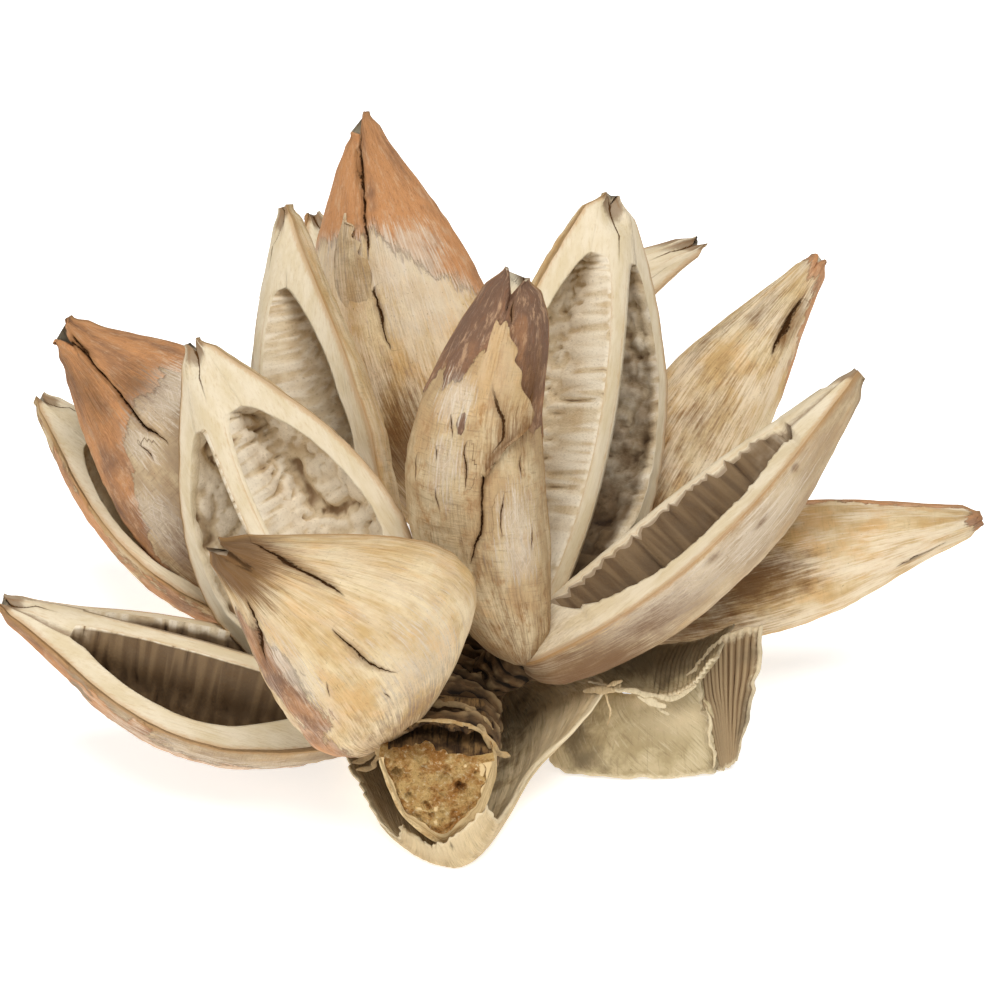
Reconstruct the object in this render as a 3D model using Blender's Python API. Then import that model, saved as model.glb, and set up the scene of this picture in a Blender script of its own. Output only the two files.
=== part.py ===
"""Star pod: a dried seed head lying on a table.

Five woody capsules stand round a short flower stalk that lies in its torn, boat-shaped spathe.
Each capsule has split from the tip into three valves that still hold together at the foot.
The script works in millimetres and turns them into metres where a mesh is placed.
X is to the right, Y is away from the cut end of the stalk, and Z is up. The table is at Z 0.
"""

import math
from dataclasses import dataclass

import bmesh
import bpy
from mathutils import Vector

MM = 0.001
FIT_GAP = 0.35  # clearance between two pieces that touch on the real head
WELD = 1e-7  # metres

# Capsule valves. Every valve is a wedge of the closed capsule, hollowed on both sides of its septum.
WIDEST_AT = 0.42  # share of the length, from the foot
TIP_HALF_WIDTH = 2.4
WALL = 2.8  # woody wall under the seed chambers
RIM = 5.0  # width of the pale split face beside a chamber
SEPTUM_HALF = 1.7
SEPTUM_RISE = 0.5  # septum height over the rim, as a share of the half width
HEEL = 4.0  # how far each valve's foot stands off its capsule's base point
SOCKET_RADIUS = 10.5  # scoop in the stalk round a capsule's foot
FORK_GAP = 0.6  # half the gap between the two points of a tip
STATIONS = (0.0, 0.035, 0.11, 0.18, 0.32, 0.46, 0.60, 0.71, 0.78, 0.86, 0.94, 1.0)
CHAMBER_STEPS = (0.07, 0.3, 0.65, 0.93)
SHELL_ANGLES = (28, 55, 80)  # degrees round the outer wall, from the rim towards the keel


@dataclass
class Valve:
    """One valve: where its tip is, the way its hollow side faces, and its sizes in millimetres."""

    tip: tuple
    faces: tuple
    half_width: float = 22.0
    depth: float = 13.0
    bow: float = 4.0
    sway: float = 0.0
    taper: float = 1.05
    foot: float = 0.24  # share of the full width at the foot
    fork_from: float = 0.93
    chamber: tuple = (0.14, 0.80)


@dataclass
class Capsule:
    """Three valves on one base point, and the point inside the stalk that its foot grows from."""

    base: tuple
    root: tuple
    valves: dict


CAPSULES = {
    "capsule_front_left": Capsule(
        base=(-21, 22, 23),
        root=(-11, 24, 14),
        valves={
            "upper": Valve(tip=(-59, 64, 81), faces=(-0.36, -0.85, 0.37), half_width=23.5, depth=9, bow=2, sway=-3),
            "front": Valve(tip=(-50, 4, 74), faces=(-0.44, 0.9, 0.1), half_width=21.5, depth=11, bow=8, sway=-10, foot=0.34),
            "lower": Valve(tip=(-96, 36, 39), faces=(0.2, -0.1, 0.98), half_width=17, taper=1.2),
        },
    ),
    "capsule_left": Capsule(
        base=(-28, 61, 16),
        root=(-12, 59, 14),
        valves={
            "front": Valve(tip=(-89, 91, 69), faces=(0.16, 0.92, -0.35), half_width=23, depth=12, bow=3, sway=-3),
            "left": Valve(tip=(-97, 102, 46), faces=(0.4, 0.0, 0.92), half_width=21, depth=11, bow=2, sway=-2),
            "back": Valve(tip=(-44, 114, 85), faces=(-0.8, -0.6, 0.15), half_width=23, depth=12, bow=-3, sway=-5, taper=1.15),
        },
    ),
    "capsule_rear": Capsule(
        base=(-3, 98, 14),
        root=(-6, 80, 13),
        valves={
            "top": Valve(tip=(-29, 144, 92), faces=(0.17, 0.87, -0.46), half_width=21, depth=12, bow=2, sway=3, taper=1.1),
            "left": Valve(tip=(-41, 160, 60), faces=(0.45, -0.34, 0.82), half_width=18, bow=2),
            "right": Valve(tip=(48, 154, 56), faces=(0.03, -0.61, 0.79), half_width=13, depth=11, bow=-1, sway=-14),
        },
    ),
    "capsule_middle": Capsule(
        base=(7, 32, 29),
        root=(-5, 35, 17),
        valves={
            "front": Valve(tip=(5, 48, 106), faces=(0.1, 0.97, -0.2), half_width=15.5, bow=1, sway=7, taper=0.75),
            "back": Valve(tip=(24, 88, 101), faces=(0.5, -0.74, 0.46), half_width=21.5, bow=0, sway=3, taper=0.75),
            "right": Valve(tip=(71, 58, 78), faces=(-0.65, 0.27, 0.7), half_width=18, bow=2, foot=0.42),
        },
    ),
    "capsule_right": Capsule(
        base=(23, 66, 15),
        root=(-1, 62, 13),
        valves={
            "upper": Valve(tip=(69, 111, 74), faces=(-0.1, 0.83, -0.54), half_width=13.5, depth=12, bow=0, sway=3, taper=1.1),
            "front": Valve(tip=(100, 65, 39), faces=(0.1, 0.92, -0.3), half_width=13, depth=12, bow=1, sway=1),
            "rear": Valve(tip=(58, 127, 22), faces=(-0.4, 0.2, 0.9), half_width=16, bow=2),
        },
    ),
}

# Stalk: the outline of its section as shares of half its width and height, from the top round to the keel.
STALK_OUTLINE = (
    (0, 1), (0.35, 0.97), (0.68, 0.84), (0.92, 0.58), (1, 0.25), (0.9, -0.1), (0.66, -0.42), (0.4, -0.7), (0.16, -0.93), (0, -1),
)
# Distance along Y, middle in X, half width, underside and top, in millimetres.
STALK_LINE = (
    (4, -10.5, 10.2, 3.6, 29),
    (10, -10, 10.8, 3, 29),
    (14, -9.5, 11.0, 2.8, 28.5),
    (19, -9.5, 10.6, 2.6, 26),
    (62, -7.5, 9.5, 2.4, 23.5),
    (84, -7, 7.0, 4.0, 19),
)
WRINKLED = (19, 62)  # stretch of the stalk with ridges round its top
WRINKLE_PITCH = 2.4
WRINKLE_DEPTH = 0.7
PITH_INSET = 1.6
PITH_DEPTH = 1.6
HOLLOW_ABOVE_PITH = (
    (-20, 22.5), (-15.5, 21.3), (-10, 20.6), (-6, 21.2), (-2, 22.5), (-5.5, 25.8), (-10.5, 27), (-15.5, 26),
)

# Sheets: rows of points on the middle of each sheet. They are joined by smooth curves both ways.
SPATHE_THICKNESS = 1.2
SPATHE_ROWS = (
    ((-11, 3.5, 2), (-9, 2.2, 1), (-7, 1.4, 0.6), (-5, 1.4, 0.6), (-3, 2, 1), (-1, 4, 2.2), (0, 6, 3.4)),
    ((-22, 10, 4.5), (-17.5, 9, 1.8), (-12, 8, 0.6), (-6, 8, 0.6), (-1, 9, 1.6), (2, 11, 4), (3.5, 12.5, 6.5)),
    ((-26, 19, 6.5), (-20, 18, 2.8), (-13, 17, 0.6), (-6, 17, 0.6), (2, 17, 3), (6, 17, 8), (8.5, 17.5, 12.5)),
    ((-29, 27, 7), (-22, 26, 3), (-13, 25, 0.6), (-5, 25, 0.6), (4, 24, 5), (10, 23, 11.5), (16.4, 21.8, 18)),
    ((-30, 35, 7), (-22, 34, 3), (-13, 33, 0.6), (-5, 33, 0.6), (5, 32, 7), (12, 30, 16), (22, 27.5, 23.5)),
    ((-35, 47, 2.5), (-25, 45, 0.9), (-13, 43, 0.6), (-4.5, 43, 0.6), (4, 42, 4.5), (9, 40, 10.5), (13, 37, 16)),
    ((-38, 61, 0.6), (-26, 60.5, 0.6), (-13, 60, 0.6), (-4, 60, 0.6), (2, 60, 2.4), (5, 59, 4), (7, 59, 6)),
    ((-30, 79, 0.6), (-21, 79, 0.6), (-11, 78, 0.6), (-4, 78, 0.6), (0, 78, 2.6), (3, 78, 5), (5, 78, 7)),
    ((-17, 94, 3), (-14, 93.5, 1.6), (-9.5, 93, 0.8), (-5.5, 92.5, 0.8), (-3.5, 93, 1.5), (-2, 93.5, 2.5), (-1, 94, 3.6)),
)
BRACT_THICKNESS = 0.9
BRACT_ROWS = (
    ((12, 31.5, 2.2), (16.5, 30, 0.45), (26, 29, 0.45), (38, 29.5, 0.45), (45.5, 30.5, 0.45), (47.5, 31.2, 1), (49.5, 31.5, 3)),
    ((12, 33, 6), (17, 31.5, 6), (26, 30, 6), (37, 30.5, 6), (44, 31.5, 6), (47, 33, 6.5), (50.5, 32, 9)),
    ((14, 34, 10), (19, 33, 10.5), (27, 31.5, 11), (36, 31.5, 11.5), (42.5, 32.7, 12), (46.5, 35, 13), (51.5, 33, 16)),
    ((18, 35, 14), (22, 34, 14.5), (28, 32.5, 15), (35, 32.3, 15.5), (41, 33.5, 16), (46, 36.5, 18), (53, 35, 23)),
    ((22, 36, 16.5), (25, 35, 17), (29, 33.5, 17.5), (34, 33, 17.7), (40, 34.2, 18), (45.5, 38, 22), (54, 38, 30)),
)
CURL_ROWS = (
    ((23.5, 26.5, 22.8), (29.5, 27.2, 22.9), (34.5, 27.2, 22.1), (39.5, 29, 24), (43.5, 32, 27.4)),
    ((24, 30, 20.8), (30, 31, 20.6), (35, 31.5, 20.4), (40.5, 33, 21.8), (45, 35.5, 25.4)),
    ((25, 36, 20.8), (31, 37.5, 20.8), (36, 38.5, 21), (41.5, 39.5, 22.7), (46.5, 40, 26.7)),
    ((27, 43, 20.8), (33, 45, 21), (38.5, 45.5, 21.5), (44, 45, 23.5), (48.5, 44, 27.5)),
)

# The origin is on the table under the middle of the spathe's keel.
ORIGIN = Vector((-8, 55, 0))


def mix(a, b, share):
    return a + (b - a) * share


def valve_sizes(valve, s):
    """Half width, keel depth and septum height at the share s of the valve's length."""
    if s < WIDEST_AT:
        rise = math.sin(math.pi / 2 * (s / WIDEST_AT) ** 0.8)
        width = valve.foot + (1 - valve.foot) * rise
    else:
        width = math.cos(math.pi / 2 * (s - WIDEST_AT) / (1 - WIDEST_AT)) ** valve.taper
    half = valve.half_width * width + TIP_HALF_WIDTH * s**6
    keel = mix(1.6, valve.depth, (half / valve.half_width) ** 0.8)
    septum = SEPTUM_RISE * half
    return half, keel, septum


def chamber_opening(valve, s):
    """0 where the valve is solid, rising to 1 along the middle of its seed chambers."""
    start, end = valve.chamber
    if not start < s < end:
        return 0.0
    across = abs(2 * (s - start) / (end - start) - 1)
    return (1 - across**2.4) ** (1 / 2.4)


def half_section(valve, s):
    """Outline of the valve's right half at s, from the septum's edge round to the keel, as (x, z)."""
    half, keel, septum = valve_sizes(valve, s)
    fork = max(0.0, (s - valve.fork_from) / (1 - valve.fork_from))
    middle = (septum - keel) / 2
    edge = Vector((min(SEPTUM_HALF, 0.35 * half) + FORK_GAP * fork, septum * 0.96))
    rim = Vector((half, 0.0))
    opening = chamber_opening(valve, s)
    face = rim - edge
    rim_share = 1 - min(RIM / face.length, 0.5)
    lip = edge + face * rim_share * max(opening, 0.6)
    points = [Vector((0.0, mix(septum, middle + 0.3, fork))), edge]
    for step in CHAMBER_STEPS:
        flat = edge + (lip - edge) * step
        ring = max(0.0, 1 - (flat.x / half) ** 2)
        floor = min(-keel * math.sqrt(ring) + WALL, flat.y)
        wall = (1 - abs(2 * step - 1) ** 3.5) ** (1 / 3.5)
        points.append(Vector((flat.x, mix(flat.y, floor, wall * min(1.0, opening * 1.15)))))
    points += [lip, rim]
    for degrees in SHELL_ANGLES:
        turn = math.radians(degrees)
        points.append(Vector((max(half * math.cos(turn), FORK_GAP * fork), -keel * math.sin(turn))))
    points.append(Vector((0.0, mix(-keel, middle - 0.3, fork))))
    return points


def valve_sections(valve, base):
    """Rings of points round the valve, from its foot to its tip, in millimetres."""
    start, tip = Vector(base), Vector(valve.tip)
    inward = Vector(valve.faces)
    axis = (tip - start).normalized()
    inward = (inward - axis * inward.dot(axis)).normalized()
    start = start - inward * HEEL
    along = tip - start
    axis = along.normalized()
    inward = (inward - axis * inward.dot(axis)).normalized()
    side = axis.cross(inward)
    rings = []
    for s in STATIONS:
        right = half_section(valve, s)
        left = [Vector((-p.x, p.y)) for p in right[1:-1]]
        centre = start + along * s
        centre -= inward * valve.bow * math.sin(math.pi * s)
        centre += side * valve.sway * math.sin(math.pi * s)
        rings.append([centre + side * p.x + inward * p.y for p in right + left[::-1]])
    return rings


def new_object(name, bm):
    mesh = bpy.data.meshes.new(name)
    bm.to_mesh(mesh)
    bm.free()
    made = bpy.data.objects.new(name, mesh)
    bpy.context.scene.collection.objects.link(made)
    return made


def loft(name, rings):
    """A closed body through rings of points that all have the same count."""
    around, along = len(rings[0]), len(rings) - 1
    bm = bmesh.new()
    bmesh.ops.create_grid(bm, x_segments=around, y_segments=along, size=1)
    for vert in bm.verts:
        i = round((vert.co.x + 1) / 2 * around) % around
        j = round((vert.co.y + 1) / 2 * along)
        vert.co = (rings[j][i] - ORIGIN) * MM
    bmesh.ops.remove_doubles(bm, verts=bm.verts, dist=WELD)
    bmesh.ops.holes_fill(bm, edges=[e for e in bm.edges if e.is_boundary])
    bmesh.ops.recalc_face_normals(bm, faces=bm.faces)
    return new_object(name, bm)


def apply_modifiers(obj):
    graph = bpy.context.evaluated_depsgraph_get()
    mesh = bpy.data.meshes.new_from_object(obj.evaluated_get(graph))
    obj.modifiers.clear()
    obj.data = mesh


def foot(name, base, root, spare=0.0):
    """The short woody foot from the base point of a capsule down into the stalk."""
    start, end = Vector(base), Vector(root)
    axis = (end - start).normalized()
    side = axis.orthogonal().normalized()
    up = axis.cross(side)
    top, bottom = 7.0 + spare, 4.5 + spare
    rings = []
    for share, radius in ((-0.45, top * 0.7), (0.05, top), (0.55, mix(top, bottom, 0.6)), (1.0, bottom)):
        centre = start + (end - start) * share + axis * (spare if share == 1.0 else 0.0)
        turns = [math.radians(36 * k) for k in range(10)]
        rings.append([centre + side * radius * math.cos(t) + up * radius * math.sin(t) for t in turns])
    return loft(name, rings)


def union(obj, others):
    group = bpy.data.collections.new("joined")
    for other in others:
        group.objects.link(other)
    join = obj.modifiers.new("Join", "BOOLEAN")
    join.operation = "UNION"
    join.operand_type = "COLLECTION"
    join.collection = group
    join.solver = "EXACT"
    bpy.context.view_layer.update()
    apply_modifiers(obj)
    for other in others:
        bpy.data.objects.remove(other)
    bpy.data.collections.remove(group)


def capsule(name, plan):
    body = foot(name, plan.base, plan.root)
    valves = [loft(f"{name}_{key}", valve_sections(v, plan.base)) for key, v in plan.valves.items()]
    union(body, valves)
    return body


def capsule_socket(name, plan):
    """The space that a capsule's foot takes up in the stalk, with its clearance."""
    cutter = foot(f"{name}_socket", plan.base, plan.root, spare=FIT_GAP)
    bm = bmesh.new()
    bmesh.ops.create_icosphere(bm, subdivisions=2, radius=SOCKET_RADIUS * MM)
    bmesh.ops.translate(bm, verts=bm.verts, vec=(Vector(plan.base) - ORIGIN) * MM)
    return [cutter, new_object(f"{name}_scoop", bm)]


def cut(obj, cutters):
    for cutter in cutters:
        cutter.hide_render = True
        cutter.display_type = "WIRE"
        take = obj.modifiers.new("Cut", "BOOLEAN")
        take.operation = "DIFFERENCE"
        take.object = cutter
        take.solver = "EXACT"
    bpy.context.view_layer.update()
    apply_modifiers(obj)
    for cutter in cutters:
        bpy.data.objects.remove(cutter)


def prism(name, outline, y_from, y_to):
    """A straight block along Y whose ends have the outline given as (x, z)."""
    return loft(name, [[Vector((x, y, z)) for x, z in outline] for y in (y_from, y_to)])


def stalk_section(y, inset=0.0):
    """The stalk's outline at the distance y, as points (x, z)."""
    for near, far in zip(STALK_LINE, STALK_LINE[1:]):
        if y <= far[0]:
            break
    share = (y - near[0]) / (far[0] - near[0])
    _, middle, half, low, high = (mix(n, f, share) for n, f in zip(near, far))
    centre, rise = (low + high) / 2, (high - low) / 2
    ridge = 0.0
    if WRINKLED[0] < y < WRINKLED[1]:
        ridge = WRINKLE_DEPTH * (1 if round((y - WRINKLED[0]) / WRINKLE_PITCH) % 2 else -1)
    points = []
    for side in (1, -1):
        for dx, dz in STALK_OUTLINE[:-1]:
            swell = 1 + (ridge * max(0.0, dz + 0.3) - inset) / half
            points.append((middle + side * dx * half * swell, centre + side * dz * rise * swell))
    return points


def stalk():
    ridges = int((WRINKLED[1] - WRINKLED[0]) / WRINKLE_PITCH)
    stations = [4, 7, 10, 14, 17] + [WRINKLED[0] + WRINKLE_PITCH * k for k in range(ridges + 1)] + [66, 75, 84]
    body = loft("stalk", [[Vector((x, y, z)) for x, z in stalk_section(y)] for y in stations])
    pith = [(x, z) for x, z in stalk_section(4, inset=PITH_INSET)]
    cutters = [
        prism("pith_recess", pith, 3, 4 + PITH_DEPTH),
        prism("hollow", HOLLOW_ABOVE_PITH, 3, 17),
        prism("front_trim", [(-24, 22.5), (2, 22.5), (2, 31), (-24, 31)], 3, 8),
    ]
    for name, plan in CAPSULES.items():
        cutters += capsule_socket(name, plan)
    cut(body, cutters)
    return body


def smooth_through(values, share):
    """A point on the smooth curve through the listed points, at the share of the way along."""
    last = len(values) - 1
    at = min(int(share * last), last - 1)
    u = share * last - at
    p0, p1, p2, p3 = (Vector(values[min(max(k, 0), last)]) for k in (at - 1, at, at + 1, at + 2))
    return 0.5 * (2 * p1 + (p2 - p0) * u + (2 * p0 - 5 * p1 + 4 * p2 - p3) * u**2 + (3 * p1 - p0 - 3 * p2 + p3) * u**3)


def sheet(name, rows, thickness, across, along):
    """A thin curved sheet through rows of points, with the same thickness all over."""
    bm = bmesh.new()
    bmesh.ops.create_grid(bm, x_segments=across, y_segments=along, size=1)
    for vert in bm.verts:
        u, v = (vert.co.x + 1) / 2, (vert.co.y + 1) / 2
        line = [smooth_through(row, u) for row in rows]
        point = smooth_through(line, v)
        point.z = max(point.z, thickness / 2)
        vert.co = (point - ORIGIN) * MM
    made = new_object(name, bm)
    solid = made.modifiers.new("Thickness", "SOLIDIFY")
    solid.thickness = thickness * MM
    solid.offset = 0
    bpy.context.view_layer.update()
    apply_modifiers(made)
    return made


def dress(obj, slot, colour, roughness):
    """Gives an object its one material. Objects with the same slot name share it."""
    material = bpy.data.materials.get(slot) or bpy.data.materials.new(slot)
    material.use_nodes = True
    shader = material.node_tree.nodes["Principled BSDF"]
    shader.inputs["Base Color"].default_value = (*colour, 1.0)
    shader.inputs["Roughness"].default_value = roughness
    obj.data.materials.clear()
    obj.data.materials.append(material)


def clear_scene():
    for old in list(bpy.data.objects):
        bpy.data.objects.remove(old)


def main():
    clear_scene()
    for name, plan in CAPSULES.items():
        dress(capsule(name, plan), "woody_husk", (0.58, 0.44, 0.27), 0.8)
    dress(stalk(), "dried_stalk", (0.36, 0.27, 0.17), 0.85)
    spathe = sheet("spathe", SPATHE_ROWS, SPATHE_THICKNESS, across=18, along=24)
    bract = sheet("bract_right", BRACT_ROWS, BRACT_THICKNESS, across=18, along=10)
    curl = sheet("bract_curl", CURL_ROWS, BRACT_THICKNESS, across=12, along=6)
    for leaf in (spathe, bract, curl):
        dress(leaf, "papery_bract", (0.5, 0.42, 0.3), 0.75)


main()
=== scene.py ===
# Looks of the star pod: split woody capsules round a cut stalk in a torn spathe, on a pale floor.
# Sizes are in millimetres on the plan of the head and become metres where a mesh is placed.

import math

import bmesh
import bpy
import numpy as np
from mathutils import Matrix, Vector


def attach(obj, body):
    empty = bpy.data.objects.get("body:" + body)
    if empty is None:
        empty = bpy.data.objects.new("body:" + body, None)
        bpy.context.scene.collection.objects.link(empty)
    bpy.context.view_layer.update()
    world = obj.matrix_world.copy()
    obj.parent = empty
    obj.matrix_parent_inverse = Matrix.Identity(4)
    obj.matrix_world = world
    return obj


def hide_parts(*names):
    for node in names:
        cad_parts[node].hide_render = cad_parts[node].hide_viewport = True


print("star pod: loading the frame")
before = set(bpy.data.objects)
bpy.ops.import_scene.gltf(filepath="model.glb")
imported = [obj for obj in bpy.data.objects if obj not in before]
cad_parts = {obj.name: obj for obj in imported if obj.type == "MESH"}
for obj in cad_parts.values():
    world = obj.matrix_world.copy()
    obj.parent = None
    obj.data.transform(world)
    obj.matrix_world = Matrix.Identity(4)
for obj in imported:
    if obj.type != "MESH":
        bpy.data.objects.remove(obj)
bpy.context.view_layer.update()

mm = 0.001
farOff = 9.0  # millimetres: as far from an edge as any pattern looks
headOrigin = np.array((-8.0, 55.0, 0.0))  # where the frame's zero lies on the plan
weldDistance = 1e-7  # metres


def mix(a, b, share):
    return a + (b - a) * share


def smoothStep(low, high, value):
    share = np.clip((value - low) / (high - low), 0, 1)
    return share * share * (3 - 2 * share)


def unit(vector):
    return vector / np.maximum(np.linalg.norm(vector, axis=-1, keepdims=True), 1e-9)


noiseSide = 48
noiseLattice = np.random.default_rng(7).uniform(-1, 1, (noiseSide,) * 3)


def waves(points, size, seed=0):
    # A smooth random field from -1 to 1. Size is the width of a swell, one number or one for each axis.
    grid = np.asarray(points) / np.asarray(size, float) + seed * 7.31
    cell = np.floor(grid).astype(int)
    part = grid - cell
    part = part * part * (3 - 2 * part)
    total = 0.0
    for corner in np.ndindex(2, 2, 2):
        at = (cell + corner) % noiseSide
        weight = np.prod(np.where(corner, part, 1 - part), axis=-1)
        total = total + weight * noiseLattice[at[..., 0], at[..., 1], at[..., 2]]
    return total


def smoothSpan(p0, p1, p2, p3, u):
    # The smooth curve from p1 to p2, at the share u of the way.
    square, cube = 2 * p0 - 5 * p1 + 4 * p2 - p3, 3 * p1 - p0 - 3 * p2 + p3
    return 0.5 * (2 * p1 + (p2 - p0) * u + square * u**2 + cube * u**3)


def openCurve(values, share):
    # Points on the smooth curve through the listed values, at shares of the way along.
    values = np.asarray(values, float)
    last = len(values) - 1
    at = np.minimum((share * last).astype(int), last - 1)
    u = (share * last - at).reshape(-1, *([1] * (values.ndim - 1)))
    p0, p1, p2, p3 = (values[np.clip(at + k, 0, last)] for k in (-1, 0, 1, 2))
    return smoothSpan(p0, p1, p2, p3, u)


def surfaceNormals(points, closedRound):
    # Unit normals of a grid of points: rows run along, columns run round.
    if closedRound:
        crosswise = np.roll(points, -1, axis=1) - np.roll(points, 1, axis=1)
    else:
        crosswise = np.gradient(points, axis=1)
    return unit(np.cross(crosswise, np.gradient(points, axis=0)))


def gridMesh(name, points, fields=None, materials=(), zones=None, closedRound=True, capped=True, capZone=0):
    # A mesh object through a grid of points, started from Blender's own grid and bent to shape.
    rows, columns = points.shape[:2]
    around = columns if closedRound else columns - 1
    bm = bmesh.new()
    bmesh.ops.create_grid(bm, x_segments=around, y_segments=rows - 1, size=1)
    mesh = bpy.data.meshes.new(name)
    bm.to_mesh(mesh)
    spots = np.empty(len(mesh.vertices) * 3)
    mesh.vertices.foreach_get("co", spots)
    spots = spots.reshape(-1, 3)
    i = np.rint((spots[:, 0] + 1) / 2 * around).astype(int) % columns
    j = np.rint((spots[:, 1] + 1) / 2 * (rows - 1)).astype(int)
    if zones is not None:
        middles = np.array([face.center[:2] for face in mesh.polygons])
        across = np.floor((middles[:, 0] + 1) / 2 * around).astype(int)
        along = np.floor((middles[:, 1] + 1) / 2 * (rows - 1)).astype(int)
        mesh.polygons.foreach_set("material_index", zones[along, across].astype(np.int32))
    mesh.vertices.foreach_set("co", ((points[j, i] - headOrigin) * mm).ravel())
    for label, values in (fields or {}).items():
        layer = mesh.attributes.new(label, "FLOAT_VECTOR", "POINT")
        layer.data.foreach_set("vector", values[j, i].astype(np.float32).ravel())
    bm.clear()
    bm.from_mesh(mesh)
    if closedRound:
        bmesh.ops.remove_doubles(bm, verts=bm.verts, dist=weldDistance)
    if capped:
        for cap in bmesh.ops.holes_fill(bm, edges=[edge for edge in bm.edges if edge.is_boundary])["faces"]:
            cap.material_index = capZone
    bmesh.ops.recalc_face_normals(bm, faces=bm.faces)
    bm.to_mesh(mesh)
    bm.free()
    mesh.shade_smooth()
    for material in materials:
        mesh.materials.append(material)
    made = bpy.data.objects.new(name, mesh)
    bpy.context.scene.collection.objects.link(made)
    return made


def joinObjects(target, others):
    with bpy.context.temp_override(active_object=target, selected_editable_objects=[target, *others]):
        bpy.ops.object.join()
    return target


def applyModifiers(piece):
    graph = bpy.context.evaluated_depsgraph_get()
    finished = bpy.data.meshes.new_from_object(piece.evaluated_get(graph))
    piece.modifiers.clear()
    piece.data = finished


# Materials


def hexColour(code):
    channels = [int(code[k : k + 2], 16) / 255 for k in (0, 2, 4)]
    linear = [c / 12.92 if c <= 0.04045 else ((c + 0.055) / 1.055) ** 2.4 for c in channels]
    return (*linear, 1.0)


def addNode(tree, kind, values=None, links=None, **settings):
    node = tree.nodes.new(kind)
    for key, value in settings.items():
        setattr(node, key, value)
    for key, value in (values or {}).items():
        node.inputs[key].default_value = value
    for key, source in (links or {}).items():
        tree.links.new(source, node.inputs[key])
    return node


dryGleam = 0.22  # dry fibres scatter rather than gleam


def newMaterial(name, roughness):
    material = bpy.data.materials.new(name)
    material.use_nodes = True
    shader = material.node_tree.nodes["Principled BSDF"]
    shader.inputs["Roughness"].default_value = roughness
    shader.inputs["Specular IOR Level"].default_value = dryGleam
    return material, material.node_tree, shader


def calculate(tree, operation, first, second=None, third=None):
    # One sum on sockets or numbers.
    values, links = {}, {}
    for slot, item in enumerate((first, second, third)):
        if item is None:
            continue
        if isinstance(item, (int, float)):
            values[slot] = item
        else:
            links[slot] = item
    return addNode(tree, "ShaderNodeMath", values, links, operation=operation).outputs[0]


def roughen(tree, value, noise, amount):
    # The value, pushed up and down by a pattern.
    return calculate(tree, "MULTIPLY_ADD", calculate(tree, "SUBTRACT", noise, 0.5), amount, value)


def ramp(tree, value, low, high, toLow=0.0, toHigh=1.0):
    # Turns the range low to high of a value into a smooth share.
    limits = {1: low, 2: high, 3: toLow, 4: toHigh}
    node = addNode(tree, "ShaderNodeMapRange", limits, {0: value}, interpolation_type="SMOOTHSTEP")
    return node.outputs[0]


def blendColour(tree, share, under, over):
    # Sockets or hex codes; the share is a socket or a number.
    node = addNode(tree, "ShaderNodeMix", data_type="RGBA")
    for slot, item in ((0, share), (6, under), (7, over)):
        if isinstance(item, str):
            node.inputs[slot].default_value = hexColour(item)
        elif isinstance(item, (int, float)):
            node.inputs[slot].default_value = item
        else:
            tree.links.new(item, node.inputs[slot])
    return node.outputs[2]


def pattern(tree, coordinates, size, detail=4.0, roughness=0.6, distortion=0.0, shift=0.0, turn=0.0):
    # Noise whose swells measure size along each axis of the coordinates, turned in their first plane.
    values = {"Scale": size, "Location": (shift * 10,) * 3, "Rotation": (0, 0, math.radians(turn))}
    place = addNode(tree, "ShaderNodeMapping", values, {"Vector": coordinates}, vector_type="TEXTURE")
    values = {"Scale": 1.0, "Detail": detail, "Roughness": roughness, "Distortion": distortion}
    return addNode(tree, "ShaderNodeTexNoise", values, {"Vector": place.outputs[0]}).outputs["Fac"]


def multiply(tree, *items):
    # The product of sockets and numbers.
    product = items[0]
    for item in items[1:]:
        product = calculate(tree, "MULTIPLY", product, item)
    return product


def tint(tree, under, over, value, low, high, *strength):
    # Lays a second colour over the first where the value passes from low to high.
    return blendColour(tree, multiply(tree, ramp(tree, value, low, high), *strength), under, over)


def readAttribute(tree, label):
    node = addNode(tree, "ShaderNodeAttribute", attribute_name=label, attribute_type="GEOMETRY")
    parts = addNode(tree, "ShaderNodeSeparateXYZ", links={0: node.outputs["Vector"]})
    return node.outputs["Vector"], parts.outputs[0], parts.outputs[1], parts.outputs[2]


def dullHollow(tree, shader, line):
    # A crack is a hollow, so it sends back no gleam.
    gleam = calculate(tree, "MULTIPLY_ADD", line, -dryGleam, dryGleam)
    tree.links.new(gleam, shader.inputs["Specular IOR Level"])


def addBump(tree, shader, height, distance, strength=1.0):
    values = {"Strength": strength, "Distance": distance * mm}
    bump = addNode(tree, "ShaderNodeBump", values, {"Height": height})
    tree.links.new(bump.outputs["Normal"], shader.inputs["Normal"])


huskLook = {
    "fibre": "cba974",  # the middle layer of the husk, bared where its skin has gone
    "paleFibre": "e3cda3",
    "peachFibre": "dcb279",
    "tanFibre": "b58448",
    "dullFibre": "a48d72",  # greyed by weather
    "skin": "c88f5e",  # the terracotta outer skin, light and dark
    "darkSkin": "7b5d49",
    "chalk": "dfc6ae",  # the skin's worn, chalky edge
    "bare": "d8c9b2",  # grey-white bloom on worn places
    # dark brown of real stains, also used for painted shade
    "stainAndShade": "6a4522",
    "crack": "452c17",
    "edge": "b08653",
}


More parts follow.
